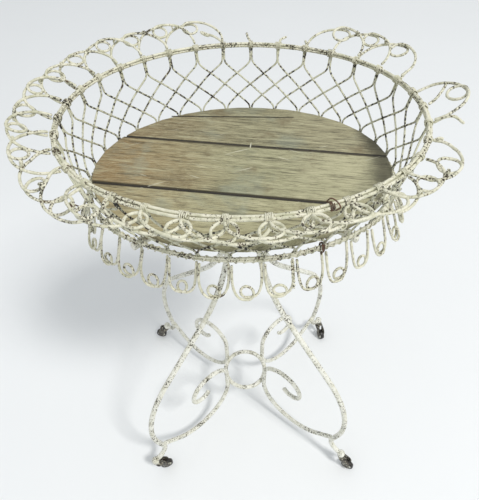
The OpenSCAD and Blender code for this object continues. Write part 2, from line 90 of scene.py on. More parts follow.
class Slot(Enum):
    """Material slots of the record."""

    WIRE = "painted_wire"
    ROD = "painted_rod"
    RUSTY = "rusty_wire"
    BOARD = "weathered_board"
    IRON = "dark_iron"
    WHEEL = "wheel_iron"


# ---- shapes ---------------------------------------------------------------------------------
def unit(v: Array) -> Array:
    """Vectors scaled to length one along the last axis."""
    return v / np.linalg.norm(v, axis=-1, keepdims=True)


def ripple(p: Array, size: float, seed: float = 0.0) -> Array:
    """Smooth bumpiness of space: a sum of three products of sines of the point's coordinates.

    Args:
        p: points, last axis xyz.
        size: length of a bump in metres.
        seed: shifts the pattern.

    Returns:
        Values from about -1 to 1, one for each point.
    """
    q = p * (2 * math.pi / size)
    x, y, z = q[..., 0] + seed, q[..., 1] + 1.7 * seed, q[..., 2] + 2.3 * seed
    first = np.sin(x + 0.7 * z) * np.sin(y - 0.4 * x) * np.cos(z + 0.3 * y)
    second = np.sin(2.1 * y + z) * np.sin(1.9 * z - x) * 0.6
    third = np.sin(3.3 * x - 1.2 * y) * np.sin(2.9 * z + 2.0 * y) * 0.5
    return (first + second + third) * 0.7


def wander(count: int, shape: tuple[int, ...], waves: int, rng: np.random.Generator) -> Array:
    """Slow sideways drift along a hand-bent wire: a sum of sines with random phases.

    Args:
        count: points along the wire.
        shape: number of wires, as leading axes.
        waves: how many half waves the slowest sine has.
        rng: source of the phases.

    Returns:
        Drift of the given shape with the points as its last axis, about -1 to 1.
    """
    s = np.linspace(0, 1, count)
    total = np.zeros(shape + (count,))
    for i in range(3):
        phase = rng.uniform(0, 2 * math.pi, shape)[..., None]
        total = total + np.sin(math.pi * (waves + 1.7 * i) * s + phase) / (1 + i)
    return total / 1.8


def softened_ramp(t: Array, start: float, end: float, bend: float) -> Array:
    """A ramp from 0 to 1 with rounded corners: two softplus curves' difference by its length.

    Args:
        t: places along the wire, 0 to 1.
        start: where the ramp starts.
        end: where it ends.
        bend: how far its corners are rounded.

    Returns:
        The ramp at each place.
    """
    def soft(x: Array) -> Array:
        return np.log1p(np.exp(-np.abs(x))) + np.maximum(x, 0)

    return (soft((t - start) / bend) - soft((t - end) / bend)) * bend / (end - start)


def flow(points: Array, steps: int) -> Array:
    """A Catmull-Rom curve through given points.

    Args:
        points: control points, shape (n, 3).
        steps: new points between each two.

    Returns:
        Points along the curve, shape ((n - 1) * steps + 1, 3).
    """
    padded = np.vstack([2 * points[0] - points[1], points, 2 * points[-1] - points[-2]])
    t = (np.arange(steps) / steps)[None, :, None]
    a, b, c, d = (padded[i:len(points) - 1 + i, None] for i in range(4))
    curve = 0.5 * (2 * b + (c - a) * t + (2 * a - 5 * b + 4 * c - d) * t**2
                   + (3 * b - a - 3 * c + d) * t**3)
    return np.vstack([curve.reshape(-1, 3), points[-1:]])


def swept(path: Array, radius: Array | float, up: Array, sides: int, closed: bool = False,
          flat: float = 1.0, lumps: float = 0.0) -> Array:
    """Skin of a rod that follows a path: a ring round each point, square to the path.

    Args:
        path: points, shape (..., n, 3).
        radius: one radius, or one for each point.
        up: direction that is never along the path, one or one for each point.
        sides: points of each ring.
        closed: whether the path comes back to its start.
        flat: thickness along up as a share of the width.
        lumps: how much the thickness of paint swells and sinks, as a share of the radius.

    Returns:
        Grid of points, shape (..., n, sides, 3).
    """
    step = np.roll(path, -1, -2) - np.roll(path, 1, -2)
    if not closed:
        step[..., 0, :] = path[..., 1, :] - path[..., 0, :]
        step[..., -1, :] = path[..., -1, :] - path[..., -2, :]
    along = unit(step)
    side = unit(np.cross(along, up))
    top = np.cross(side, along) * flat
    turn = np.arange(sides) * 2 * math.pi / sides
    ring = (np.cos(turn)[:, None] * side[..., None, :] + np.sin(turn)[:, None] * top[..., None, :])
    size = np.broadcast_to(np.asarray(radius, float), path.shape[:-1])[..., None, None]
    skin = path[..., None, :] + size * ring
    if lumps:
        swell = lumps * (ripple(skin, 7 * MM) + 0.6 * ripple(skin, 3 * MM, 4.0))
        skin = skin + size * ring * swell[..., None]
    return skin


def rod(path: Array, radius: Array | float, up: Array, sides: int, lumps: float = 0.0,
        ease: float = 0.5, flat: float = 1.0) -> Array:
    """Skin of a rod with blunt tips: beyond each end of the path it thins down to 0.55 of itself.

    Args:
        path: points, shape (..., n, 3).
        radius: one radius, or one for each point.
        up: direction that is never along the path, one or one for each point.
        sides: points of each ring.
        lumps: how much the thickness of paint swells and sinks, as a share of the radius.
        ease: length of the tips as a share of the radius.
        flat: thickness along up as a share of the width.

    Returns:
        Grid of points, shape (..., n + 2, sides, 3).
    """
    size = np.broadcast_to(np.asarray(radius, float), path.shape[:-1])
    head = unit(path[..., :1, :] - path[..., 1:2, :]) * size[..., :1, None] * ease
    tail = unit(path[..., -1:, :] - path[..., -2:-1, :]) * size[..., -1:, None] * ease
    longer = np.concatenate([path[..., :1, :] + head, path, path[..., -1:, :] + tail], -2)
    radii = np.concatenate([size[..., :1] * 0.55, size, size[..., -1:] * 0.55], -1)
    if up.ndim > 1:
        up = np.concatenate([up[..., :1, :], up, up[..., -1:, :]], -2)
    return swept(longer, radii, up, sides, flat=flat, lumps=lumps)


def spun(profile: Array, sides: int) -> Array:
    """A profile turned round the Z axis: the radius goes round a circle, the height stays.

    Args:
        profile: radius and height pairs from the bottom up on the outside, shape (n, 2).
        sides: points round the axis.

    Returns:
        Grid of points, shape (n, sides, 3).
    """
    turn = np.arange(sides) * 2 * math.pi / sides
    x = profile[:, :1] * np.cos(turn)
    y = profile[:, :1] * np.sin(turn)
    return np.stack([x, y, np.broadcast_to(profile[:, 1:], x.shape)], -1)


def mirrored(half: Array) -> Array:
    """A profile and its mirror image, joined where they meet: the second column changes sign.

    Args:
        half: points of the first half, in mm. A last point on the mirror is not doubled.

    Returns:
        Points of the whole, in metres.
    """
    other = half[::-1] * np.where(np.arange(half.shape[1]) == 1, -1, 1)
    return np.concatenate([half, other[1:] if half[-1, 1] == 0 else other]) * MM


@dataclass
class Shell:
    """Grids of points gathered into one mesh."""

    points: list[Array] = field(default_factory=list)
    quads: list[Array] = field(default_factory=list)
    tris: list[Array] = field(default_factory=list)
    count: int = 0

    def add(self, grid: Array, ring_path: bool = False) -> "Shell":
        """Adds rods or turned shapes and closes their ends with a fan.

        Args:
            grid: points, shape (..., rows, sides, 3), each row a closed ring.
            ring_path: whether the last row joins the first.

        Returns:
            The shell itself.
        """
        rows, sides = grid.shape[-3:-1]
        rods = grid.reshape(-1, rows, sides, 3)
        first = self.count + np.arange(len(rods))[:, None, None] * rows * sides
        r = np.arange(rows if ring_path else rows - 1)[None, :, None]
        c = np.arange(sides)[None, None, :]
        here, ahead = r * sides, (r + 1) % rows * sides
        after = (c + 1) % sides
        corners = [here + c, ahead + c, ahead + after, here + after]
        self.quads.append(np.stack([first + x for x in corners], -1).reshape(-1, 4))
        self.points.append(rods.reshape(-1, 3))
        self.count += rods.shape[0] * rows * sides
        if not ring_path:
            for row, flip in ((0, False), (rows - 1, True)):
                middle = self.count + np.arange(len(rods))[:, None]
                a = first[:, 0] + row * sides + np.arange(sides)[None]
                b = first[:, 0] + row * sides + (np.arange(sides)[None] + 1) % sides
                middles = np.broadcast_to(middle, a.shape)
                fan = np.stack([middles, b, a] if flip else [middles, a, b], -1)
                self.tris.append(fan.reshape(-1, 3))
                self.points.append(rods[:, row].mean(1))
                self.count += len(rods)
        return self

    def piece(self, name: str, body: str, slot: Slot, finish: Material,
              stands_for: tuple[str, ...] = ()) -> bpy.types.Object:
        """Makes the shell a piece of the stand.

        Args:
            name: the piece's name.
            body: the moving body that it rides on.
            slot: not used.
            finish: its material.
            stands_for: plain nodes that it replaces.

        Returns:
            The new object, at the origin.
        """
        points = np.concatenate(self.points).astype(np.float32)
        quads = np.concatenate(self.quads)
        tris = np.concatenate(self.tris) if self.tris else np.zeros((0, 3), int)
        starts = np.concatenate([np.arange(len(quads)) * 4,
                                 len(quads) * 4 + np.arange(len(tris)) * 3])
        corners = np.concatenate([quads.ravel(), tris.ravel()])
        mesh = bpy.data.meshes.new(name)
        mesh.vertices.add(len(points))
        mesh.vertices.foreach_set("co", points.ravel())
        mesh.loops.add(len(corners))
        mesh.loops.foreach_set("vertex_index", corners.astype(np.int32))
        mesh.polygons.add(len(starts))
        mesh.polygons.foreach_set("loop_start", starts.astype(np.int32))
        mesh.polygons.foreach_set("use_smooth", np.ones(len(starts), bool))
        mesh.update(calc_edges=True)
        mesh.validate()
        mesh.materials.append(finish)
        piece = bpy.data.objects.new(name, mesh)
        bpy.context.scene.collection.objects.link(piece)
        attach(piece, body)
        if stands_for:
            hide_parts(*stands_for)
        log.info("%s: %d points, %d faces", name, len(points), len(starts))
        return piece


@dataclass(frozen=True)
class Oval:
    """An oval of four arcs that meet without a kink, as the hoops are bent."""

    half_length: float
    half_depth: float

    @property
    def _arcs(self) -> tuple[float, float, float, float]:
        """Radius of the ends, radius of the sides, and how far out the centres of each are."""
        a, b = self.half_length, self.half_depth
        c = math.hypot(a, b)
        end = (c - (a - b)) * c / (2 * a)
        side = (c + (a - b)) * c / (2 * b)
        return end, side, a - end, side - b

    def at(self, tie: Array) -> tuple[Array, Array]:
        """Places on the oval, counted in ties from the right end towards the back.

        Args:
            tie: tie numbers, which may be fractions.

        Returns:
            The points in the plane and the directions straight out of the oval there, (..., 2).
        """
        turn = np.asarray(tie, float) * 2 * math.pi / TIES
        angle = np.arctan2(self.half_depth * np.sin(turn), self.half_length * np.cos(turn))
        u, v = np.cos(angle), np.sin(angle)
        end, side, out, back = self._arcs
        joint = math.atan2(back, out)
        limit = math.atan2(end * math.sin(joint), out + end * math.cos(joint))
        on_end = np.arctan2(np.abs(v), np.abs(u)) < limit
        end_reach = out * np.abs(u) + np.sqrt(np.maximum(end**2 - (out * v) ** 2, 0))
        side_reach = -back * np.abs(v) + np.sqrt(np.maximum(side**2 - (back * u) ** 2, 0))
        reach = np.where(on_end, end_reach, side_reach)
        point = np.stack([reach * u, reach * v], -1)
        centre = np.stack([np.where(on_end, out * np.sign(u), 0 * u),
                           np.where(on_end, 0 * v, -back * np.sign(v))], -1)
        return point, unit(point - centre)

    def along(self, tie: Array) -> Array:
        """Level directions along the oval at each tie, (..., 3)."""
        n = self.at(tie)[1]
        return np.stack([-n[..., 1], n[..., 0], 0 * n[..., 0]], -1)

    def path(self, tie: Array, height: Array | float, out: Array | float = 0.0,
             aside: Array | float = 0.0) -> Array:
        """Points beside the oval: outwards by out, along it by aside, at a height.

        Args:
            tie: tie numbers.
            height: height of each point.
            out: distance outwards.
            aside: distance along the oval.

        Returns:
            Points, shape (..., 3).
        """
        p, n = self.at(tie)
        flat = p + np.asarray(out)[..., None] * n
        flat = flat + np.asarray(aside)[..., None] * np.stack([-n[..., 1], n[..., 0]], -1)
        return np.concatenate([flat, np.broadcast_to(height, flat.shape[:-1])[..., None]], -1)


# ---- finishes -------------------------------------------------------------------------------
@dataclass
class Recipe:
    """A material's node tree, with short ways to add the nodes that the finishes use."""

    name: str

    def __post_init__(self) -> None:
        """Starts the tree with its shader and the object's coordinates."""
        self.material = bpy.data.materials.new(self.name)
        self.material.use_nodes = True
        self.tree = self.material.node_tree
        self.shader = self.tree.nodes["Principled BSDF"]
        self.place = self.tree.nodes.new("ShaderNodeTexCoord").outputs["Object"]

    def link(self, source: Feed, socket: Socket) -> None:
        """Feeds a socket from another socket, or sets it to a number or colour.

        Args:
            source: the other socket, number or colour.
            socket: what it feeds.
        """
        if isinstance(source, Socket):
            self.tree.links.new(source, socket)
        elif isinstance(source, tuple):
            socket.default_value = (*source, 1.0)
        else:
            socket.default_value = source

    def turned(self, angle: float, scale: Triple, shift: Triple = (0.0, 0.0, 0.0)) -> Socket:
        """Coordinates turned about Z and stretched, for grain that runs one way.

        Args:
            angle: the turn.
            scale: the stretch along each axis, after the turn.
            shift: how far the coordinates are moved.

        Returns:
            The new coordinates.
        """
        turn = self.tree.nodes.new("ShaderNodeMapping")
        turn.vector_type = "POINT"
        turn.inputs["Rotation"].default_value = (0.0, 0.0, angle)
        turn.inputs["Location"].default_value = shift
        self.link(self.place, turn.inputs["Vector"])
        stretch = self.tree.nodes.new("ShaderNodeVectorMath")
        stretch.operation = "MULTIPLY"
        stretch.inputs[1].default_value = scale
        self.link(turn.outputs[0], stretch.inputs[0])
        return stretch.outputs[0]

    def noise(self, scale: float, detail: float = 4.0, rough: float = 0.6, bend: float = 0.0,
              place: Socket | None = None) -> Socket:
        """Cloudy noise.

        Args:
            scale: clouds per metre.
            detail: how many finer layers it has.
            rough: how strong the finer layers are.
            bend: how much the clouds are distorted.
            place: coordinates, or None for the object's.

        Returns:
            The noise, about 0.3 to 0.7.
        """
        node = self.tree.nodes.new("ShaderNodeTexNoise")
        node.inputs["Scale"].default_value = scale
        node.inputs["Detail"].default_value = detail
        node.inputs["Roughness"].default_value = rough
        node.inputs["Distortion"].default_value = bend
        self.link(place or self.place, node.inputs["Vector"])
        return node.outputs["Fac"]

    def step(self, value: Socket, low: float, high: float) -> Socket:
        """A smooth step from 0 at low to 1 at high. With low above high it falls instead.

        Args:
            value: what is compared.
            low: where the step is 0.
            high: where the step is 1.

        Returns:
            The step.
        """
        node = self.tree.nodes.new("ShaderNodeMapRange")
        node.interpolation_type = "SMOOTHSTEP"
        flip = low > high
        node.inputs["From Min"].default_value = min(low, high)
        node.inputs["From Max"].default_value = max(low, high)
        node.inputs["To Min"].default_value = 1.0 if flip else 0.0
        node.inputs["To Max"].default_value = 0.0 if flip else 1.0
        self.link(value, node.inputs["Value"])
        return node.outputs["Result"]

    def calc(self, kind: str, a: Feed, b: Feed) -> Socket:
        """One step of arithmetic.

        Args:
            kind: ADD or MULTIPLY.
            a: first value.
            b: second value.

        Returns:
            The result.
        """
        node = self.tree.nodes.new("ShaderNodeMath")
        node.operation = kind
        self.link(a, node.inputs[0])
        self.link(b, node.inputs[1])
        return node.outputs[0]

    def blend(self, *parts: tuple[Socket, float], base: float | None = None) -> Socket:
        """A weighted sum of values.

        Args:
            parts: each value and its weight.
            base: a number that is added to them.

        Returns:
            The sum.
        """
        terms: list[Feed] = [self.calc("MULTIPLY", value, weight) for value, weight in parts]
        if base is not None:
            terms.append(base)
        return reduce(lambda a, b: self.calc("ADD", a, b), terms)

    def mix(self, share: Socket, a: Feed, b: Feed) -> Socket:
        """Two colours mixed.

        Args:
            share: share of the second colour.
            a: first colour.
            b: second colour.

        Returns:
            The mixed colour.
        """
        node = self.tree.nodes.new("ShaderNodeMix")
        node.data_type = "RGBA"
        self.link(share, node.inputs[0])
        self.link(a, node.inputs[6])
        self.link(b, node.inputs[7])
        return node.outputs[2]

    def veil(self, colour: Feed, share: Socket, most: float, tint: Colour) -> Socket:
        """A colour with a thin coat of a tint over it, of strength share times most."""
        return self.mix(self.calc("MULTIPLY", share, most), colour, tint)

    def axis(self, index: int, place: Socket | None = None) -> Socket:
        """One coordinate of a place, or of the object's own coordinates."""
        node = self.tree.nodes.new("ShaderNodeSeparateXYZ")
        self.link(place or self.place, node.inputs[0])
        return node.outputs[index]

    def finish(self, colour: Feed, rough: Feed, height: Socket, depth: float) -> Material:
        """Joins colour, roughness and relief to the shader.

        Args:
            colour: base colour.
            rough: roughness.
            height: relief, 0 to 1.
            depth: depth of the relief in metres.

        Returns:
            The material.
        """
        self.link(colour, self.shader.inputs["Base Color"])
        self.link(rough, self.shader.inputs["Roughness"])
        self.shader.inputs["Metallic"].default_value = 0.0
        bump = self.tree.nodes.new("ShaderNodeBump")
        bump.inputs["Strength"].default_value = 0.9
        bump.inputs["Distance"].default_value = depth
        self.link(height, bump.inputs["Height"])
        self.link(bump.outputs[0], self.shader.inputs["Normal"])
        return self.material


@dataclass(frozen=True)
class ChippedPaint:
    """Old off-white paint on iron: flakes are gone down to dark metal, with a stained rim."""

    name: str
    wear: float
    flake: float
    paint: Colour
    grime: Colour = (0.50, 0.495, 0.35)
    stain: Colour = (0.27, 0.23, 0.14)
    bare: Colour = (0.022, 0.020, 0.016)
    rust: Colour = (0.10, 0.060, 0.032)

    def make(self) -> Material:
        """Where fine noise plus broad noise passes a limit the paint is gone. Just short of the
        limit it is stained, and the relief falls from the paint's face to the metal.

        Returns:
            The material.
        """
        r = Recipe(self.name)
        broad = r.noise(34.0, 3.0)
        fine = r.noise(self.flake, 5.0, 0.6)
        speck = r.step(r.noise(self.flake * 2.3, 3.0, 0.6), 0.60, 0.72)
        level = r.blend((fine, 0.66), (broad, 0.34), (speck, 0.05))
        edge = 0.60 - 0.16 * self.wear
        gone = r.step(level, edge, edge + 0.02)
        stained = r.step(level, edge - 0.045, edge + 0.01)
        tone = r.mix(r.step(r.noise(95.0, 4.0), 0.38, 0.72), self.paint, self.grime)
        tone = r.veil(tone, stained, 0.45, self.stain)
        metal = r.mix(r.step(r.noise(210.0, 3.0), 0.50, 0.70), self.bare, self.rust)
        rough = r.blend((gone, 0.3), base=0.50)
        height = r.blend((r.noise(900.0, 3.0), 0.35), (gone, -0.5), base=0.55)
        return r.finish(r.mix(gone, tone, metal), rough, height, 0.35 * MM)


@dataclass(frozen=True)
class RustedIron:
    """Bare iron, dark and rusty, with what is left of some paint."""

    name: str
    dark: Colour
    rust: Colour
    rusty: float
    painted: float = 0.0
    pits: Colour = (0.02, 0.015, 0.012)
    paint: Colour = (0.55, 0.52, 0.40)

    def make(self) -> Material:
        """Dark metal and rust by noise, with crumbs of paint where finer noise is highest.

        Returns:
            The material.
        """
        r = Recipe(self.name)
        patch = r.step(r.noise(160.0, 5.0, 0.7), 0.62 - 0.35 * self.rusty, 0.75 - 0.2 * self.rusty)
        grain = r.noise(1200.0, 3.0, 0.7)
        least = 0.68 - 0.2 * self.painted
        crumbs = r.step(r.noise(330.0, 4.0, 0.7), least, least + 0.04)
        colour = r.veil(r.mix(patch, self.dark, self.rust), grain, 0.5, self.pits)
        rough = r.blend((patch, 0.35), base=0.42)
        height = r.blend((grain, 0.4), (crumbs, 0.5))
        return r.finish(r.mix(crumbs, colour, self.paint), rough, height, 0.3 * MM)


@dataclass(frozen=True)
class WeatheredWood:
    """Planks gone grey: grain along the board, green-grey bleaching, dark stains and scratches.

    The boards are warm and dark at the left and back, grey-green in the middle and pale at the
    right, where the edge is black with damp.
    """

    name: str
    skew: float
    warm: Colour = (0.285, 0.196, 0.088)
    grey: Colour = (0.315, 0.305, 0.178)
    pale: Colour = (0.54, 0.51, 0.33)
    dark: Colour = (0.040, 0.032, 0.016)
    back: Colour = (0.175, 0.145, 0.085)
    front: Colour = (0.44, 0.41, 0.24)
    stain: Colour = (0.135, 0.095, 0.045)
    haze: Colour = (0.26, 0.30, 0.24)
    damp: Colour = (0.07, 0.065, 0.042)
    scratch: Colour = (0.70, 0.68, 0.53)

    def make(self) -> Material:
        """Noise drawn out along the grain gives the streaks, and broad noise the patches. Each
        tone lies over the ones before it, as a thin coat where its own step says.

        Returns:
            The material.
        """
        r = Recipe(self.name)
        streak = r.noise(14.0, 6.0, 0.64, 0.3, r.turned(-self.skew, (1.0, 12.0, 12.0)))
        thread = r.noise(46.0, 5.0, 0.78, 0.12, r.turned(-self.skew, (1.0, 34.0, 34.0)))
        patch = r.noise(10.0, 4.0, 0.6)
        along, across = r.axis(0), r.axis(1, r.turned(-self.skew, (1.0, 1.0, 1.0)))
        drift = r.blend((patch, 0.16), (along, 1.0))
        stains = r.noise(17.0, 5.0, 0.7)
        clouds = r.noise(13.0, 4.0, 0.6, 0.0, r.turned(1.1, (1.0, 1.0, 1.0), (0.31, 0.17, 0.0)))
        seams = [r.calc("MULTIPLY", r.step(across, low - 0.0008, low + 0.0004),
                        r.step(across, high + 0.0008, high - 0.0004))
                 for low, high in ((-0.0615, -0.0555), (0.0425, 0.0468))]
        scuffs = [r.noise(scale, 2.0, 0.5, 0.0, r.turned(angle, (0.22, 3.2, 1.0)))
                  for angle, scale in ((0.5, 70.0), (-0.35, 54.0))]
        coats = [
            (r.step(drift, 0.08, 0.24), 0.62, self.pale),
            (r.step(across, 0.046, 0.052), 0.42, self.back),
            (r.step(across, -0.057, -0.062), 0.45, self.front),
            (r.step(streak, 0.52, 0.68), 0.55, self.pale),
            (r.step(streak, 0.48, 0.33), 0.65, self.dark),
            (r.step(thread, 0.52, 0.62), 0.72, self.pale),
            (r.step(thread, 0.48, 0.38), 0.85, self.dark),
            (r.step(stains, 0.54, 0.70), 0.50, self.stain),
            (r.step(clouds, 0.52, 0.68), 0.35, self.haze),
            *((seam, 0.9, self.dark) for seam in seams),
            (r.step(r.blend((patch, 0.06), (along, 1.0)), 0.190, 0.216), 0.78, self.damp),
            *((r.step(scuff, 0.70, 0.74), 0.5, self.scratch) for scuff in scuffs)]
        colour = r.mix(r.step(drift, -0.11, 0.11), self.warm, self.grey)
        for share, most, tint in coats:
            colour = r.veil(colour, share, most, tint)
        rough = r.blend((streak, 0.2), base=0.68)
        return r.finish(colour, rough, r.blend((streak, 0.45), (thread, 0.55)), 0.8 * MM)


# ---- basket ---------------------------------------------------------------------------------
@dataclass
class Basket:
    """The wire basket: three-strand rim, crossed lattice, base hoops and all that is wound on."""

    paint: Material
    worn: Material
    rusty: Material
    lattice_wire: float = 2.6 * MM
    loop_wire: float = 3.4 * MM
    binding_wire: float = 1.5 * MM
    rim_reach: float = 50 * MM
    front_reach: float = 28 * MM
    slope: float = math.radians(22)
    front_slope: float = math.radians(-2)
    border_ring: float = 10.5 * MM
    fringe_drop: float = 53 * MM
    fringe_lean: float = math.radians(20)
    fringe_ring: float = 8 * MM
    broken: tuple[int, ...] = (1, 2, 6, 7, 8, 9, 32, 33)

    def __post_init__(self) -> None:
        """Reads the ovals and heights from the frame."""
        self.strand = HOOP_WIRE + CLEAR
        self.bundle = 0.58 * self.strand
        rim_low, rim_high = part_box("rim_hoop_outer")
        base_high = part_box("base_hoop_upper")[1]
        base_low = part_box("base_hoop_lower")[0]
        edge = HOOP_WIRE / 2
        self.rim = Oval(rim_high.x - edge - self.bundle, rim_high.y - edge - self.bundle)
        self.base = Oval(base_high.x - edge, base_high.y - edge)
        self.rim_z = (rim_low.z + rim_high.z) / 2
        self.base_z = (base_high.z + base_low.z) / 2
        self.rim_tie = self.bundle + edge + 0.3 * MM
        self.base_tie = self.strand / 2 + edge + 0.3 * MM
        self.off_tie = 1.2 * MM + self.loop_wire / 2
        self.rng = np.random.default_rng(34)

    def hoops(self, oval: Oval, z: float, places: tuple[tuple[float, float], ...], name: str,
              nodes: tuple[str, ...]) -> None:
        """Wires that run round an oval side by side, each a little uneven.

        Args:
            oval: the oval that they follow.
            z: its height.
            places: how far each wire is out and up from it.
            name: the piece's name.
            nodes: the plain hoops that it stands for.
        """
        count = TIES * 14
        tie = np.arange(count) * TIES / count
        shell = Shell()
        for i, (out, up) in enumerate(places):
            sway = np.sin(tie * 2 * math.pi * 5 / TIES + i * 2.1) * 0.25 * MM
            sway = sway + np.sin(tie * 2 * math.pi * 13 / TIES + i) * 0.22 * MM
            path = oval.path(tie, z + up - sway * 0.6, out + sway)
            shell.add(swept(path, HOOP_WIRE / 2, LEVEL, 10, True, lumps=0.07), True)
        shell.piece(name, "stand", Slot.WIRE, self.paint, nodes)

    def wires(self, name: str, node: str, grid: Array, closed: bool = False) -> None:
        """Makes skins of painted wires a piece that stands for a plain node."""
        Shell().add(grid, closed).piece(name, "stand", Slot.WIRE, self.paint, (node,))

    def ties(self) -> None:
        """Binding wire wound in close turns round the rim at each tie: a helix about the hoop."""
        turns, each = 4.5, 12
        t = np.linspace(0, 1, int(turns * each) + 1)
        tie = np.arange(TIES)[:, None]
        phase = self.rng.uniform(0, 2 * math.pi, (TIES, 1)) + t * turns * 2 * math.pi
        radius = self.rim_tie + 0.25 * MM + self.rng.uniform(-0.2, 0.3, (TIES, 1)) * MM
        aside = (t - 0.5) * 7.4 * MM * self.rng.uniform(0.85, 1.25, (TIES, 1))
        where = tie + 0 * t
        path = self.rim.path(where, self.rim_z + radius * np.sin(phase), radius * np.cos(phase),
                             aside)
        self.wires("rim_bindings", "rim_ties",
                   rod(path, self.binding_wire / 2, self.rim.along(where), 6, lumps=0.12))

    def lashing(self) -> None:
        """Wire wound like rope round both base hoops: a long helix with a flattened section."""
        turns, each = 128, 12
        t = np.arange(turns * each) / (turns * each)
        phase = t * turns * 2 * math.pi + 0.5 * np.sin(t * 2 * math.pi * 11)
        wide = HOOP_WIRE / 2 + self.binding_wire * 0.55
        tall = self.strand / 2 + wide
        tie = t * TIES
        path = self.base.path(tie, self.base_z + tall * np.sin(phase), wide * np.cos(phase))
        skin = swept(path, self.binding_wire * 0.62, self.base.along(tie), 6, True, lumps=0.12)
        self.wires("base_lashing", "base_ties", skin, True)

    def lattice(self, way: int, name: str, node: str) -> None:
        """Wires that leave each rim tie, drop, slant across two ties and drop to the base.

        The tie number follows a softened ramp down the wire, and the wire bows outwards where it
        crosses the others.

        Args:
            way: 1 leans right and lies outside, -1 leans left and lies inside.
            name: the piece's name.
            node: the plain wires that it stands for.
        """
        count = 44
        t = np.linspace(0, 1, count)
        top = self.rim_z - self.rim_tie - 1.0 * MM
        bottom = self.base_z + self.base_tie + 1.0 * MM
        tie = np.arange(TIES)[:, None]
        shift = softened_ramp(t, 0.20, 0.86, 0.022)
        free = np.sin(math.pi * t)
        drift = wander(count, (TIES,), 2, self.rng) * free
        mix = shift + self.rng.uniform(-0.03, 0.03, (TIES, 1)) * free
        pair = way * (self.lattice_wire / 2 + CLEAR)
        aside = pair * (1 - 2 * mix) + drift * 1.1 * MM
        crossing = np.clip(7 * shift * (1 - shift), 0, 1)
        out = way * (self.lattice_wire / 2 + 0.45 * MM) * crossing + drift * 0.5 * MM
        where = tie + 2 * way * mix
        low, low_out = self.base.at(where)
        high, high_out = self.rim.at(where)
        down = t[:, None]
        flat = high * (1 - down) + low * down
        normal = unit(high_out * (1 - down) + low_out * down)
        tangent = np.stack([-normal[..., 1], normal[..., 0]], -1)
        flat = flat + out[..., None] * normal + aside[..., None] * tangent
        z = np.broadcast_to(top + (bottom - top) * t, flat.shape[:-1])
        path = np.concatenate([flat, z[..., None]], -1)
        up = np.concatenate([normal, np.zeros_like(z)[..., None]], -1)
        Shell().add(swept(path, self.lattice_wire / 2, up, 8, lumps=0.13)).piece(
            name, "stand", Slot.WIRE, self.worn, (node,))

    def frontness(self, tie: Array) -> Array:
        """How near each tie is to the middle of the front, 0 to 1."""
        return np.maximum(0, -np.sin(tie * 2 * math.pi / TIES)) ** 2

    def border_line(self, tie: Array) -> tuple[Array, Array]:
        """Reach and slope of the border at each tie, both less at the front."""
        front = self.frontness(tie)
        return (self.rim_reach + (self.front_reach - self.rim_reach) * front,
                self.slope + (self.front_slope - self.slope) * front)

    def bent_loops(self, tie: Array, oval: Oval, z: float, half: Array, reach: Array, start: float,
                   ring: Array, swell: float, leg_lift: float, slope: Array | None, bent: Array,
                   twist: float) -> tuple[Array, Array]:
        """Loops of wire that stand on a hoop: a U whose tip holds a full ring.

        Each leg's distance along the hoop follows a cosine and its distance outwards a sine. The
        legs start above and below each other and part at the tip by a wire's thickness.

        Args:
            tie: middle of each loop, shape (n, 1).
            oval: the hoop that they stand on.
            z: its height.
            half: half the width of each loop, in ties.
            reach: how far the tips are from the hoop.
            start: where the legs start.
            ring: radius of the rings.
            swell: below 1 gives the legs fuller sides.
            leg_lift: height of the legs off the loops' surface.
            slope: slope of each loop above the horizontal, or None for the border's.
            bent: how far each loop was bent from that, in radians.
            twist: how uneven the hand-bent loops are, in metres.

        Returns:
            The paths and the directions off the loops' surface, both (n, points, 3).
        """
        f = np.linspace(0, math.pi / 2, 22)[:-1]
        g = np.linspace(0, 2 * math.pi, 34)
        lift = 0.5 * self.loop_wire + 0.12 * MM
        ends = np.clip((f - 1.05) / 0.52, 0, 1)
        leg_height = leg_lift + (lift - leg_lift) * ends
        x0, y0 = -np.cos(f) ** swell, np.sin(f) ** swell
        one, pitch = np.ones_like(tie), self._pitch(oval, tie, reach - ring)
        x = np.concatenate([half * x0, ring / pitch * np.sin(g), -half * x0[::-1]], 1)
        legs = start + (reach - start) * y0
        y = np.concatenate([legs, reach - ring + ring * np.cos(g), legs[:, ::-1]], 1)
        h = np.concatenate([leg_height * one, lift * (1 - g / math.pi) * one,
                            -leg_height[::-1] * one], 1)
        free = np.clip((y - start) / (20 * MM), 0, 1)
        n = x.shape[1]
        x = x + wander(n, (len(tie),), 3, self.rng) * free * twist / pitch
        y = y + wander(n, (len(tie),), 3, self.rng) * free * twist
        h = h + wander(n, (len(tie),), 2, self.rng) * free * twist * 0.5
        bend = (self.border_line(tie + x)[1] if slope is None else slope) + free * bent
        point, normal = oval.at(tie + x)
        flat = y * np.cos(bend) - h * np.sin(bend)
        rise = y * np.sin(bend) + h * np.cos(bend)
        path = np.concatenate([point + flat[..., None] * normal, (z + rise)[..., None]], -1)
        off = np.concatenate([-np.sin(bend)[..., None] * normal,
                              (np.cos(bend) + 0 * rise)[..., None]], -1)
        return path, off

    @staticmethod
    def _pitch(oval: Oval, tie: Array, out: Array) -> Array:
        """Distance from half a tie before to half a tie after each tie.

        Args:
            oval: the oval.
            tie: the ties.
            out: how far outside the oval it is taken.

        Returns:
            The distances.
        """
        p, n = oval.at(tie + 0.5)
        q, m = oval.at(tie - 0.5)
        return np.linalg.norm(p - q + out[..., None] * (n - m), axis=-1)

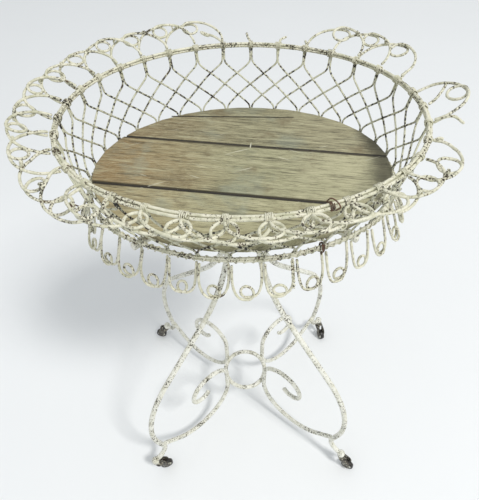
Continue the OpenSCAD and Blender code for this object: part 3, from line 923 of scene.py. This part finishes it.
    def border(self) -> None:
        """The flared border: a loop over each tie whose ring lies at its tip, but where broken."""
        tie = np.array([[k] for k in range(TIES) if k not in self.broken], float)
        reach = self.border_line(tie)[0] + self.rng.uniform(-2.0, 2.0, tie.shape) * MM
        bent = np.radians(self.rng.uniform(-4, 4, tie.shape))
        for k, (slope, length) in BENT_LOOPS.items():
            bent[tie[:, 0] == k] = math.radians(slope) - self.border_line(np.array(float(k)))[1]
            reach[tie[:, 0] == k] = length * MM
        ring = self.border_ring * self.rng.uniform(0.9, 1.1, tie.shape)
        ring = ring * (1.0 + 0.14 * self.frontness(tie))
        start = self.rim_tie + self.off_tie
        path, off = self.bent_loops(
            tie, self.rim, self.rim_z, half=np.ones_like(tie), reach=reach, start=start, ring=ring,
            swell=1.0, leg_lift=2.4 * MM, slope=None, bent=bent, twist=1.3 * MM)
        self.wires("border_wires", "border_loops",
                   rod(path, self.loop_wire / 2, off, 8, lumps=0.11))

    def knots(self) -> None:
        """Two turns of thin wire where each border loop crosses its neighbour."""
        whole = [k for k in range(TIES) if not {k, (k + 1) % TIES} & set(self.broken)]
        tie = np.array(whole, float)[:, None] + 0.5
        start = self.rim_tie + self.off_tie
        reach, slope = self.border_line(tie)
        out = start + (reach - start) * math.sin(math.radians(60))
        t = np.linspace(0, 1, 30)
        turn = t * 4.6 * math.pi + self.rng.uniform(0, 6, tie.shape)
        aside = 2.8 * MM * np.cos(turn)
        off = 3.9 * MM * np.sin(turn)
        y = out + (t - 0.5) * 3.0 * MM
        height = self.rim_z + y * np.sin(slope) + off * np.cos(slope)
        path = self.rim.path(tie + 0 * t, height, y * np.cos(slope) - off * np.sin(slope), aside)
        normal = self.rim.at(tie + 0 * t)[1]
        rise = np.sin(slope)[..., None] + 0 * path[..., :1]
        up = np.concatenate([normal * np.cos(slope)[..., None], rise], -1)
        self.wires("border_bindings", "border_knots",
                   rod(path, self.binding_wire / 2, up, 6, lumps=0.1))

    @staticmethod
    def strands(oval: Oval, z: float, wires: tuple[tuple[Triple, ...], ...], thick: float,
                shell: Shell) -> Shell:
        """Loose wires bent by hand beside a hoop.

        Args:
            oval: the hoop.
            z: its height.
            wires: for each wire its bends, as tie number, distance outwards and height in mm.
            thick: thickness of the wires.
            shell: what they are added to.

        Returns:
            The shell.
        """
        for bends in wires:
            tie, out, up = np.array(bends).T
            path = flow(oval.path(tie, z + up * MM, out * MM), 8)
            shell.add(rod(path, thick / 2, np.array([0.13, 0.21, 0.97]), 8, lumps=0.1))
        return shell

    @staticmethod
    def coil(oval: Oval, place: tuple[float, float], z: float, wide: float, tall: float,
             turns: float, thick: float, shell: Shell) -> Shell:
        """A few turns of wire wound round a hoop between two places: a helix about the hoop.

        Args:
            oval: the hoop.
            place: tie numbers of its start and end.
            z: the hoop's height.
            wide: how far the helix goes out and in.
            tall: how far it goes up and down.
            turns: how many turns it has.
            thick: thickness of the wire.
            shell: what it is added to.

        Returns:
            The shell.
        """
        t = np.linspace(0, 1, int(turns * 16))
        turn = t * turns * 2 * math.pi
        tie = place[0] + (place[1] - place[0]) * t
        path = oval.path(tie, z + tall * np.sin(turn), wide * np.cos(turn))
        return shell.add(rod(path, thick / 2, oval.along(tie), 6, lumps=0.1))

    def damage(self) -> None:
        """Ends of snapped wires, and the rusty wires and turns of later repairs."""
        ends = self.strands(self.rim, self.rim_z, SNAPPED, self.loop_wire, Shell())
        ends.piece("snapped_wires", "stand", Slot.WIRE, self.paint, ("border_stubs",))
        rim, base = self.rim_tie, self.base_tie
        mends = self.coil(self.rim, (27.5, 27.6), self.rim_z, wide=rim + 0.4 * MM,
                          tall=rim + 0.4 * MM, turns=2.2, thick=1.2 * MM, shell=Shell())
        self.coil(self.base, (27.9, 27.98), self.base_z, wide=base + 0.8 * MM,
                  tall=base + 4 * MM, turns=2.2, thick=1.3 * MM, shell=mends)
        self.strands(self.rim, self.rim_z, MENDS, 1.5 * MM, mends)
        mends.piece("repair_wires", "stand", Slot.RUSTY, self.rusty)
        t = np.linspace(0, 1, 60)
        twist = Shell()
        for phase in (0, math.pi):
            turn = t * 7 * math.pi + phase
            out = 2 * MM + t * 14 * MM + 1.3 * MM * np.cos(turn)
            path = self.base.path(26.93 + 0 * t, self.base_z - 8 * MM - 34 * MM * t, out,
                                  1.3 * MM * np.sin(turn))
            twist.add(rod(path, 1.1 * MM, np.array([0.1, 1.0, 0.2]), 6))
        twist.piece("fringe_twist", "stand", Slot.WIRE, self.paint)

    def fringe(self) -> None:
        """The hanging fringe: a loop between each two base ties with a ring at its foot."""
        tie = np.arange(TIES)[:, None] + 0.5
        pitch = self._pitch(self.base, tie, np.zeros_like(tie))
        half = 0.5 - 0.6 * self.loop_wire / pitch
        reach = self.fringe_drop + self.rng.uniform(-3.0, 1.5, tie.shape) * MM
        ring = self.fringe_ring * self.rng.uniform(0.9, 1.08, tie.shape)
        bent = np.radians(self.rng.uniform(-6, 6, tie.shape))
        start = self.base_tie + self.off_tie
        path, off = self.bent_loops(
            tie, self.base, self.base_z, half=half, reach=reach, start=start, ring=ring,
            swell=0.62, leg_lift=1.9 * MM, slope=self.fringe_lean - math.pi / 2 + 0 * tie,
            bent=bent, twist=1.5 * MM)
        self.wires("fringe_wires", "fringe_loops",
                   rod(path, self.loop_wire / 2, off, 8, lumps=0.11))

    def build(self) -> None:
        """Makes the whole basket."""
        step, bundle = self.strand, self.bundle
        self.hoops(self.rim, self.rim_z,
                   ((bundle, 0.0), (-bundle / 2, step / 2), (-bundle / 2, -step / 2)), "rim_wires",
                   ("rim_hoop_outer", "rim_hoop_top", "rim_hoop_bottom"))
        self.hoops(self.base, self.base_z, ((0.0, step / 2), (0.0, -step / 2)), "base_wires",
                   ("base_hoop_upper", "base_hoop_lower"))
        self.ties()
        self.lashing()
        self.lattice(1, "lattice_right", "lattice_wires_leaning_right")
        self.lattice(-1, "lattice_left", "lattice_wires_leaning_left")
        self.border()
        self.knots()
        self.fringe()
        self.damage()


# Border loops that were bent out of true, as tie number: slope in degrees and reach in mm.
BENT_LOOPS: dict[int, tuple[float, float]] = {
    0: (26, 50), 19: (14, 49), 20: (-5, 48), 21: (-12, 46), 22: (13, 46), 29: (0, 36), 30: (5, 39),
    31: (3, 43)}

# Snapped border wires, bend by bend: tie number, distance out from the rim and height, in mm.
SNAPPED: tuple[tuple[Triple, ...], ...] = (
    ((33.0, 6, 1), (33.06, 16, 7), (33.1, 27, 8), (33.0, 38, 3)),
    ((0.0, 6, 4), (0.12, 14, 7), (0.36, 24, 12), (0.62, 33, 14)),
    ((32.0, 6, 0), (32.1, 11, 2), (32.1, 15, 2)),
    ((2.0, 6, 1), (2.06, 11, 3), (2.1, 16, 6)),
    ((6.0, 6, 1), (6.04, 10, 3), (6.1, 15, 4)),
    ((7.0, 6, 0), (6.95, 12, 4), (6.8, 19, 5)),
    ((8.0, 6, 1), (8.1, 11, 5), (8.15, 17, 9)),
    ((9.0, 6, 2), (9.25, 14, 7), (9.5, 21, 9), (9.7, 18, 14), (9.62, 11, 13), (9.45, 12, 10)))

# Rusty wires of old repairs: a curl that stands off the rim, and a twist round a border crossing.
MENDS: tuple[tuple[Triple, ...], ...] = (
    ((27.5, -6, 2), (27.54, -2, 9), (27.6, 5, 10), (27.66, 9, 5), (27.6, 6, -1)),
    ((21.42, 28, 4), (21.5, 34, 6), (21.6, 31, -1), (21.5, 26, -2), (21.42, 31, 3), (21.52, 36, 4),
     (21.6, 33, -3)))


# ---- legs -----------------------------------------------------------------------------------
def bend_run(steps: list[tuple[float, float]], start: tuple[float, float], heading: float
             ) -> Array:
    """Points along a rod of straight runs and arcs in a plane.

    Args:
        steps: (length, 0) for a straight run, or (radius, turn in degrees) for an arc.
        start: where the rod starts.
        heading: its first direction, in degrees.

    Returns:
        Points, shape (n, 2), about 3 mm apart.
    """
    at, angle = np.array(start, float), math.radians(heading)
    found = [at[None]]
    for size, turn in steps:
        way = np.array([math.cos(angle), math.sin(angle)])
        if turn == 0:
            count = max(int(size / (3 * MM)), 1)
            found.append(at + way * (np.arange(1, count + 1) * size / count)[:, None])
        else:
            sign = math.copysign(1, turn)
            centre = at + size * sign * np.array([-way[1], way[0]])
            count = max(int(size * abs(math.radians(turn)) / (3 * MM)), 6)
            sweep = np.arange(1, count + 1) * math.radians(turn) / count
            sweep = angle - sign * math.pi / 2 + sweep
            found.append(centre + size * np.stack([np.cos(sweep), np.sin(sweep)], -1))
            angle += math.radians(turn)
        at = found[-1][-1]
    return np.concatenate(found)


@dataclass
class Legs:
    """Four bent rods, four scrolled stretcher rods and the ring that joins them."""

    paint: Material
    leg_rod: float = 10 * MM
    arm_rod: float = 9 * MM
    waist_radius: float = 30 * MM
    shoulder: float = 30 * MM
    ring_radius: float = 44 * MM
    ring_height: float = 124 * MM
    toe_z: float = 51.5 * MM
    ankle: float = 31 * MM
    foot: float = 8 * MM

    def leg_line(self) -> Array:
        """The middle line of a leg, whose straight runs are as long as its bends leave room for.

        Returns:
            Distance from the axis and height of each point, from the outer end of the bearer, in
            to the waist and down to the toe, shape (n, 2).
        """
        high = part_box("leg_front_left")[1]
        knee, shin, toe = 43.0, 57.0, 94.0
        thigh_r, shin_r, ankle_r = 265 * MM, 205 * MM, 30 * MM
        dip, lean = knee - shin + toe - 90, knee - 90
        tuck = lean - shin

        def sin(a: float) -> float:
            return math.sin(math.radians(a))

        def cos(a: float) -> float:
            return math.cos(math.radians(a))

        bearer_z = high.z - self.leg_rod / 2
        reach = PIN_RADIUS + 3 * MM
        out = (thigh_r * (1 - cos(knee)) + shin_r * (sin(lean) - sin(tuck))
               + ankle_r * (sin(dip) - sin(tuck)) + self.ankle * cos(tuck) + self.foot * cos(dip))
        shin_run = (reach - self.waist_radius - out) / cos(lean)
        down = (self.shoulder + thigh_r * sin(knee) + shin_r * (cos(lean) - cos(tuck))
                + ankle_r * (cos(dip) - cos(tuck)) - shin_run * sin(lean)
                - self.ankle * sin(tuck) - self.foot * sin(dip))
        bearer_end = self._bearer_end()
        steps = [
            (bearer_end - self.waist_radius - self.shoulder, 0), (self.shoulder, 90),
            (bearer_z - self.toe_z - down, 0), (thigh_r, knee), (shin_run, 0), (shin_r, -shin),
            (self.ankle, 0), (ankle_r, toe), (self.foot, 0)]
        return bend_run(steps, (bearer_end, bearer_z), 180)

    @staticmethod
    def _bearer_end() -> float:
        """How far out the rods reach under the base hoops: the hoop's outside in their plane."""
        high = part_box("base_hoop_lower")[1]
        oval = Oval(high.x - HOOP_WIRE / 2, high.y - HOOP_WIRE / 2)
        points = oval.at(np.linspace(0, TIES / 4, 400))[0]
        angle = np.arctan2(points[:, 1], points[:, 0])
        nearest = np.argmin(np.abs(angle - Corner.BACK_RIGHT.plane))
        return float(np.linalg.norm(points[nearest])) + HOOP_WIRE

    def scroll_line(self) -> Array:
        """The middle line of a stretcher rod: a run past the ring, a wide bow, a neck and a curl
        that tightens at its tip.

        Returns:
            Distance from the axis and height of each point, shape (n, 2).
        """
        bow, bow_turn, reach, inset = 84 * MM, 133.0, 54 * MM, 5.5 * MM
        heading = math.radians(bow_turn - 270)
        line = self.ring_radius + self.arm_rod + CLEAR
        start = (line + bow - bow * math.sin(heading) - reach * math.cos(heading),
                 self.ring_height + bow * math.cos(heading) - reach * math.sin(heading))
        steps = [(reach - inset, 0), (bow, -bow_turn), (48 * MM, 0), (45 * MM, -180.0),
                 (20 * MM, -150.0)]
        start = (start[0] + inset * math.cos(heading), start[1] + inset * math.sin(heading))
        return bend_run(steps, start, math.degrees(heading))

    @staticmethod
    def stand_up(line: Array, corner: Corner) -> Array:
        """A line of distance and height, stood up in the corner's plane."""
        way = np.array([math.cos(corner.plane), math.sin(corner.plane)])
        return np.concatenate([line[:, :1] * way, line[:, 1:]], 1)

    def build(self) -> None:
        """Makes the legs, the scrolls and the ring."""
        leg, scroll = self.leg_line(), self.scroll_line()
        for corner in Corner:
            square = np.array([-math.sin(corner.plane), math.cos(corner.plane), 0])
            skin = rod(self.stand_up(leg, corner), self.leg_rod / 2, square, 16, lumps=0.022,
                       ease=0.25)
            pin = self.stand_up(np.array([[PIN_RADIUS, self.toe_z]]), corner)[0]
            Shell().add(skin).add(spun(mirrored(EYE), 24) + pin, True).piece(
                f"rod_leg_{corner.tag}", "stand", Slot.ROD, self.paint, (f"leg_{corner.tag}",))
            skin = rod(self.stand_up(scroll, corner), self.arm_rod / 2, square, 16, lumps=0.025,
                       ease=0.4)
            Shell().add(skin).piece(f"rod_scroll_{corner.tag}", "stand", Slot.ROD, self.paint,
                                    (f"scroll_{corner.tag}",))
        turn = np.arange(120) * 2 * math.pi / 120
        ring = np.stack([self.ring_radius * np.cos(turn), self.ring_radius * np.sin(turn),
                         self.ring_height + 0 * turn], -1)
        skin = swept(ring, self.arm_rod / 2, LEVEL, 16, True, lumps=0.025)
        Shell().add(skin, True).piece("rod_ring", "stand", Slot.ROD, self.paint,
                                      ("stretcher_ring",))


# Lower half of the section of the eye at a toe, as radius and height in mm.
EYE = np.array([[3.1, -4.6], [3.4, -5.4], [6.6, -5.4], [7.4, -4.4], [7.5, 0]])


# ---- floor ----------------------------------------------------------------------------------
@dataclass
class Floor:
    """Three weathered planks cut to a rough oval with straight saw cuts."""

    wood: Material
    soil: Material
    skew: float = math.radians(-10.5)
    facets: int = 30
    thick: float = 12 * MM
    front_seam: float = -60 * MM
    middle: float = 106 * MM
    gap: float = 3 * MM

    def __post_init__(self) -> None:
        """Reads the floor's outline from the frame."""
        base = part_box("base_hoop_upper")[1]
        inset = 1.5 * HOOP_WIRE + 2.5 * MM
        self.half_length, self.half_depth = base.x - inset, base.y - inset
        self.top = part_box("floor_board_middle")[1].z

    @property
    def outline(self) -> Array:
        """Corners of the floor between its saw cuts, on an ellipse, (facets, 2)."""
        turn = (np.arange(self.facets) + 0.5) * 2 * math.pi / self.facets
        return np.stack([self.half_length * np.cos(turn), self.half_depth * np.sin(turn)], -1)

    def laid(self, u: Array, v: Array, z: Array) -> Array:
        """Points from distances along and across the boards and heights, turned by the skew."""
        cos, sin = math.cos(self.skew), math.sin(self.skew)
        return np.stack([u * cos - v * sin, u * sin + v * cos, z], -1)

    @staticmethod
    def split(u: Array) -> Array:
        """How far across the boards the split of the back plank runs, at places along them."""
        return 106 * MM + (u + 121 * MM) * 0.11

    def span(self, v: Array) -> tuple[Array, Array]:
        """Where a line along the boards enters and leaves the outline: each straight cut limits
        the line, and the tightest limits win.

        Args:
            v: distance of the line across the boards.

        Returns:
            The least and greatest distance along the boards.
        """
        corner = self.outline
        edge = np.roll(corner, -1, 0) - corner
        out = np.stack([edge[:, 1], -edge[:, 0]], -1)
        limit = (out * corner).sum(-1)
        way = np.array([math.cos(self.skew), math.sin(self.skew)])
        across = np.array([-way[1], way[0]])
        slant, rest = out @ way, limit - v[:, None] * (out @ across)
        ahead = np.where(slant > 1e-9, rest / np.where(slant > 1e-9, slant, 1), np.inf).min(1)
        back = np.where(slant < -1e-9, rest / np.where(slant < -1e-9, slant, 1), -np.inf).max(1)
        return back, ahead

    def board(self, name: str, low: float, high: float, seed: float, crack: bool) -> None:
        """One plank: a section round its length at each place across it.

        The face is worn along the grain: furrows follow sines across the board whose phase drifts
        along it, and the arrises are rounded off by a circular ease.

        Args:
            name: the plank's node.
            low: its front edge, across the boards.
            high: its back edge.
            seed: sets its furrows.
            crack: whether a long split runs near its back.
        """
        ease = 1.4 * MM
        rows = np.concatenate([low + ease * np.array([0, 0.15, 0.5, 1.0]),
                               np.linspace(low + 2 * ease, high - 2 * ease, 110),
                               high - ease * np.array([1.0, 0.5, 0.15, 0])])
        start, end = self.span(rows)
        middle = (start + end) / 2
        start, end = np.minimum(start, middle - 0.5 * MM), np.maximum(end, middle + 0.5 * MM)
        inner = np.linspace(0, 1, 150)
        along_top = np.concatenate([[0, 0.0012, 0.004], 0.008 + 0.984 * inner, [0.996, 0.9988, 1]])
        f = np.concatenate([along_top, [1, 1], [0.96, 0.7, 0.3, 0.04], [0, 0]])
        depth = np.concatenate([0 * along_top, [0.5, 1], [1, 1, 1, 1], [1, 0.5]])
        u = start[:, None] + (end - start)[:, None] * f
        v = np.broadcast_to(rows[:, None], u.shape)
        on_top = (depth == 0)[None, :]
        edge = np.minimum(np.minimum(u - start[:, None], end[:, None] - u),
                          np.minimum(v - low, high - v))
        short = np.clip(1 - edge / ease, 0, 1)
        drop = ease * (1 - np.sqrt(np.maximum(1 - short**2, 0))) * 0.8
        furrow = np.sin(v * 900 + 5 * np.sin(u * 9 + seed) + seed) * 0.45
        furrow = furrow + np.sin(v * 410 + 4 * np.sin(u * 5 + 2 * seed)) * 0.35
        furrow = furrow + np.sin(v * 1650 + 3 * np.sin(u * 17 + seed)) * 0.25
        drop = drop + (0.12 + 0.14 * furrow) * MM
        if crack:
            opened = np.clip((u + 125 * MM) / (12 * MM), 0, 1)
            opened = opened * np.clip((75 * MM - u) / (60 * MM), 0, 1)
            drop = drop + 1.6 * MM * np.exp(-((v - self.split(u)) / (0.8 * MM)) ** 2) * opened
        z = self.top - depth * self.thick - drop * on_top
        Shell().add(self.laid(u, v, z)).piece(f"plank_{name}", "stand", Slot.BOARD, self.wood,
                                              (f"floor_board_{name}",))

    def build(self) -> None:
        """Makes the three planks and the soil between them."""
        x, y = self.outline.T
        across = (-x * math.sin(self.skew) + y * math.cos(self.skew)).max()
        back_seam = self.front_seam + self.middle + self.gap
        self.board("front", -across + 0.3 * MM, self.front_seam, 0.4, False)
        self.board("middle", self.front_seam + self.gap, back_seam - self.gap, 1.9, False)
        self.board("back", back_seam, across - 0.3 * MM, 3.1, True)
        self.grime(back_seam)

    def grime(self, back_seam: float) -> None:
        """Soil packed in the seams and in the split of the back plank.

        Args:
            back_seam: how far across the boards the back plank starts.
        """
        shell = Shell()
        split = np.linspace(-124, 60, 50) * MM
        middle = np.array([self.front_seam + self.gap / 2, back_seam - self.gap / 2])
        ends = np.stack(self.span(middle), -1)
        lines = [(np.linspace(low + 2 * MM, high - 2 * MM, 90), v, self.gap * 0.54, 1.8 * MM)
                 for (low, high), v in zip(ends, middle)]
        lines.append((split, self.split(split), 0.8 * MM, 0.35 * MM))
        for u, v, size, sunk in lines:
            line = self.laid(u, v + 0 * u, self.top - sunk + 0 * u)
            shell.add(swept(line, size, LEVEL, 8, lumps=0.15))
        shell.piece("seam_soil", "stand", Slot.BOARD, self.soil)


# ---- casters --------------------------------------------------------------------------------
@dataclass
class Caster:
    """One small caster: rivet, horn, axle and wheel, with pale discs on the wheel's side faces."""

    corner: Corner
    iron: Material
    tread: Material
    paint: Material
    trail: float = 20 * MM
    wheel_r: float = 13 * MM
    wheel_w: float = 10 * MM

    def placed(self, grid: Array) -> Array:
        """A shape made with its pin on the Z axis and its wheel towards +X, put in its place.

        Args:
            grid: points, last axis xyz.

        Returns:
            The points turned and moved.
        """
        c, s = math.cos(self.corner.trail_way), math.sin(self.corner.trail_way)
        turned = np.stack([grid[..., 0] * c - grid[..., 1] * s,
                           grid[..., 0] * s + grid[..., 1] * c, grid[..., 2]], -1)
        out = np.array([math.cos(self.corner.plane), math.sin(self.corner.plane), 0])
        return turned + out * PIN_RADIUS

    def build(self) -> None:
        """Makes the caster's pieces. The rivet was painted over with the leg."""
        tag = self.corner.tag
        rivet = np.array([[0.4, 39.9], [5.2, 39.9], [5.5, 40.4], [5.5, 41.2], [5.2, 41.75],
                          [3.0, 41.8], [2.95, 57.0], [5.4, 57.1], [5.9, 57.6], [5.7, 58.6],
                          [4.4, 59.6], [2.4, 60.2], [0.4, 60.4]]) * MM
        Shell().add(self.placed(spun(rivet, 20))).piece(
            f"rivet_{tag}", "stand", Slot.IRON, self.paint, (f"caster_pin_{tag}",))
        line = flow(mirrored(np.array([
            [20, -6.7, 8.0], [19.8, -6.8, 13], [18.5, -6.9, 22], [14, -6.9, 33], [9, -6.2, 41],
            [6, -3.4, 43.7], [5.4, 0, 43.9]])), 8)
        wide = np.interp(line[:, 2], [0.008, 0.013, 0.03, 0.044], [4.2, 6.4, 7.6, 8.6]) * MM
        out = unit(np.stack([0 * line[:, 0], line[:, 1], 0.4 * (line[:, 2] - 0.03)], -1))
        horn = Shell().add(self.placed(rod(line, wide, out, 12, lumps=0.04, ease=0.1, flat=0.17)))
        boss = np.array([[3.12, 42.5], [6.2, 42.5], [6.6, 43.0], [6.6, 44.6], [6.1, 45.2],
                         [3.12, 45.3]]) * MM
        horn.add(self.placed(spun(boss, 24)), True)
        horn.piece(f"horn_{tag}", f"caster_{tag}", Slot.IRON, self.iron, (f"caster_fork_{tag}",))
        axle = mirrored(np.array([[0.3, -8.6], [2.2, -8.4], [2.7, -7.7], [1.98, -7.4]]))
        self.on_axle(Shell(), axle, False).piece(
            f"axle_{tag}", f"caster_{tag}", Slot.IRON, self.iron, (f"caster_axle_{tag}",))
        w = self.wheel_w / 2 / MM
        wheel = mirrored(np.array([
            [2.1, -w], [4.4, -w], [4.9, -w + 0.4], [5.2, -w + 1.6], [8.8, -w + 1.7],
            [9.6, -w + 0.6], [11.2, -w + 0.2], [12.4, -w + 0.9], [12.95, -w + 2.4], [13.0, 0]]))
        self.on_axle(Shell(), wheel, True).piece(
            f"wheel_iron_{tag}", f"wheel_{tag}", Slot.WHEEL, self.tread, (f"caster_wheel_{tag}",))
        # Pale discs on both side faces of the wheel, in the rods' material.
        faces = Shell()
        for low, high in ((-w + 0.9, -w + 1.9), (w - 1.9, w - 0.9)):
            disc = np.array([[2.2, low], [9.2, low], [9.2, high], [2.2, high]]) * MM
            self.on_axle(faces, disc, True)
        faces.piece(f"wheel_pale_face_{tag}", f"wheel_{tag}", Slot.WHEEL, self.paint)

    def on_axle(self, shell: Shell, profile: Array, bored: bool) -> Shell:
        """Adds a turned shape whose axis is the axle. The turn of axes keeps its faces outwards.

        Args:
            shell: what it is added to.
            profile: radius and distance along the axle.
            bored: whether it has a bore and so closes on itself.

        Returns:
            The shell.
        """
        grid = spun(profile, 36)
        laid = np.stack([grid[..., 0] + self.trail, grid[..., 2], self.wheel_r - grid[..., 1]], -1)
        return shell.add(self.placed(laid), bored)


# ---- studio ---------------------------------------------------------------------------------
@dataclass
class Studio:
    """Pale floor, soft lights and the camera."""

    spot: Triple = (-0.01179, -0.49738, 1.08684)
    pitch: float = math.radians(48.44)
    yaw: float = math.radians(0.66)
    roll: float = math.radians(-1.47)
    lens: float = 34.68

    def camera(self) -> None:
        """Places the camera from its yaw, pitch and roll."""
        cy, sy, cp, sp = (math.cos(self.yaw), math.sin(self.yaw),
                          math.cos(self.pitch), math.sin(self.pitch))
        ahead = Vector((sy * cp, cy * cp, -sp))
        right = Vector((cy, -sy, 0))
        up = right.cross(ahead)
        turned = right * math.cos(self.roll) + up * math.sin(self.roll)
        above = up * math.cos(self.roll) - right * math.sin(self.roll)
        data = bpy.data.cameras.new("camera")
        data.lens = self.lens
        data.sensor_width = 36.0
        data.sensor_fit = "HORIZONTAL"
        data.shift_y = 0.004
        data.clip_start = 0.01
        eye = bpy.data.objects.new("camera", data)
        turn = Matrix((turned, above, -ahead)).transposed().to_4x4()
        eye.matrix_world = Matrix.Translation(self.spot) @ turn
        bpy.context.scene.collection.objects.link(eye)
        bpy.context.scene.camera = eye

    def light(self, name: str, spot: Triple, size: float, watts: float, tint: Colour) -> None:
        """A square soft light that faces the stand.

        Args:
            name: its name.
            spot: where it is.
            size: length of its side.
            watts: its power.
            tint: its colour.
        """
        data = bpy.data.lights.new(name, "AREA")
        data.size = size
        data.energy = watts
        data.color = tint
        lamp = bpy.data.objects.new(name, data)
        lamp.location = spot
        aim = Vector((0, 0, 0.45)) - lamp.location
        lamp.rotation_euler = aim.to_track_quat("-Z", "Y").to_euler()
        bpy.context.scene.collection.objects.link(lamp)

    def build(self) -> None:
        """Makes the floor, the lights and the sky."""
        self.camera()
        r = Recipe("pale_floor")
        tone = r.mix(r.noise(1.3, 3.0), (0.80, 0.815, 0.82), (0.84, 0.853, 0.856))
        material = r.finish(tone, 0.85, r.noise(14.0, 3.0), 0.5 * MM)
        side = np.linspace(-9, 9, 13)
        x, y = np.meshgrid(side, side, indexing="ij")
        cells = np.arange(13 * 13).reshape(13, 13)
        quads = np.stack([cells[:-1, :-1], cells[1:, :-1], cells[1:, 1:], cells[:-1, 1:]], -1)
        mesh = bpy.data.meshes.new("studio_floor")
        mesh.from_pydata(np.stack([x, y, 0 * x], -1).reshape(-1, 3).tolist(), [],
                         quads.reshape(-1, 4).tolist())
        mesh.materials.append(material)
        floor = bpy.data.objects.new("studio_floor", mesh)
        bpy.context.scene.collection.objects.link(floor)
        world = bpy.data.worlds.new("sky")
        world.use_nodes = True
        sky = world.node_tree.nodes["Background"]
        sky.inputs["Color"].default_value = (0.945, 0.975, 1.0, 1.0)
        sky.inputs["Strength"].default_value = 0.68
        bpy.context.scene.world = world
        self.light("key", (2.7, -2.5, 5.8), 1.0, 250.0, (1.0, 0.985, 0.965))
        self.light("fill", (-1.6, -0.6, 1.9), 1.6, 3.0, (0.92, 0.96, 1.0))
        bpy.context.scene.view_settings.view_transform = "Standard"


def dress(nodes: tuple[str, ...], finish: Material) -> None:
    """Gives plain nodes of the frame their finish.

    Args:
        nodes: names of the nodes.
        finish: the material.
    """
    for name in nodes:
        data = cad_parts[name].data
        data.materials.clear()
        data.materials.append(finish)


def main() -> None:
    """Builds the stand in order and reports each piece."""
    logging.basicConfig(level=logging.INFO, format="%(name)s: %(message)s", stream=sys.stdout)
    Studio().build()
    wire = ChippedPaint("chipped_wire", wear=0.27, flake=420.0, paint=(0.72, 0.70, 0.56)).make()
    worn = ChippedPaint("chipped_lattice", wear=0.46, flake=300.0, paint=(0.60, 0.595, 0.46)).make()
    rod = ChippedPaint("chipped_rod", wear=0.24, flake=380.0, paint=(0.80, 0.795, 0.71),
                       grime=(0.60, 0.59, 0.47)).make()
    rusty = RustedIron("rusty_wire", (0.075, 0.045, 0.028), (0.20, 0.095, 0.05), 0.7).make()
    iron = RustedIron("dark_iron", (0.028, 0.025, 0.02), (0.10, 0.065, 0.04), 0.35, 0.62).make()
    tread = RustedIron("wheel_iron", (0.016, 0.015, 0.013), (0.06, 0.04, 0.025), 0.25, 0.1).make()
    soil = RustedIron("seam_soil", (0.016, 0.013, 0.009), (0.035, 0.026, 0.015), 0.5).make()
    boards = WeatheredWood("weathered_boards", math.radians(-10.5)).make()
    battens = WeatheredWood("batten_wood", math.radians(90), warm=(0.27, 0.2, 0.12),
                            grey=(0.33, 0.28, 0.18)).make()
    Basket(wire, worn, rusty).build()
    Legs(rod).build()
    Floor(boards, soil).build()
    for corner in Corner:
        Caster(corner, iron, tread, rod).build()
    dress(("batten_left", "batten_right"), battens)
    dress(("floor_nails",), rusty)
    dress(("seam_staple",), wire)
    dress(("waist_collar",), rod)


if __name__ == "__main__":
    main()
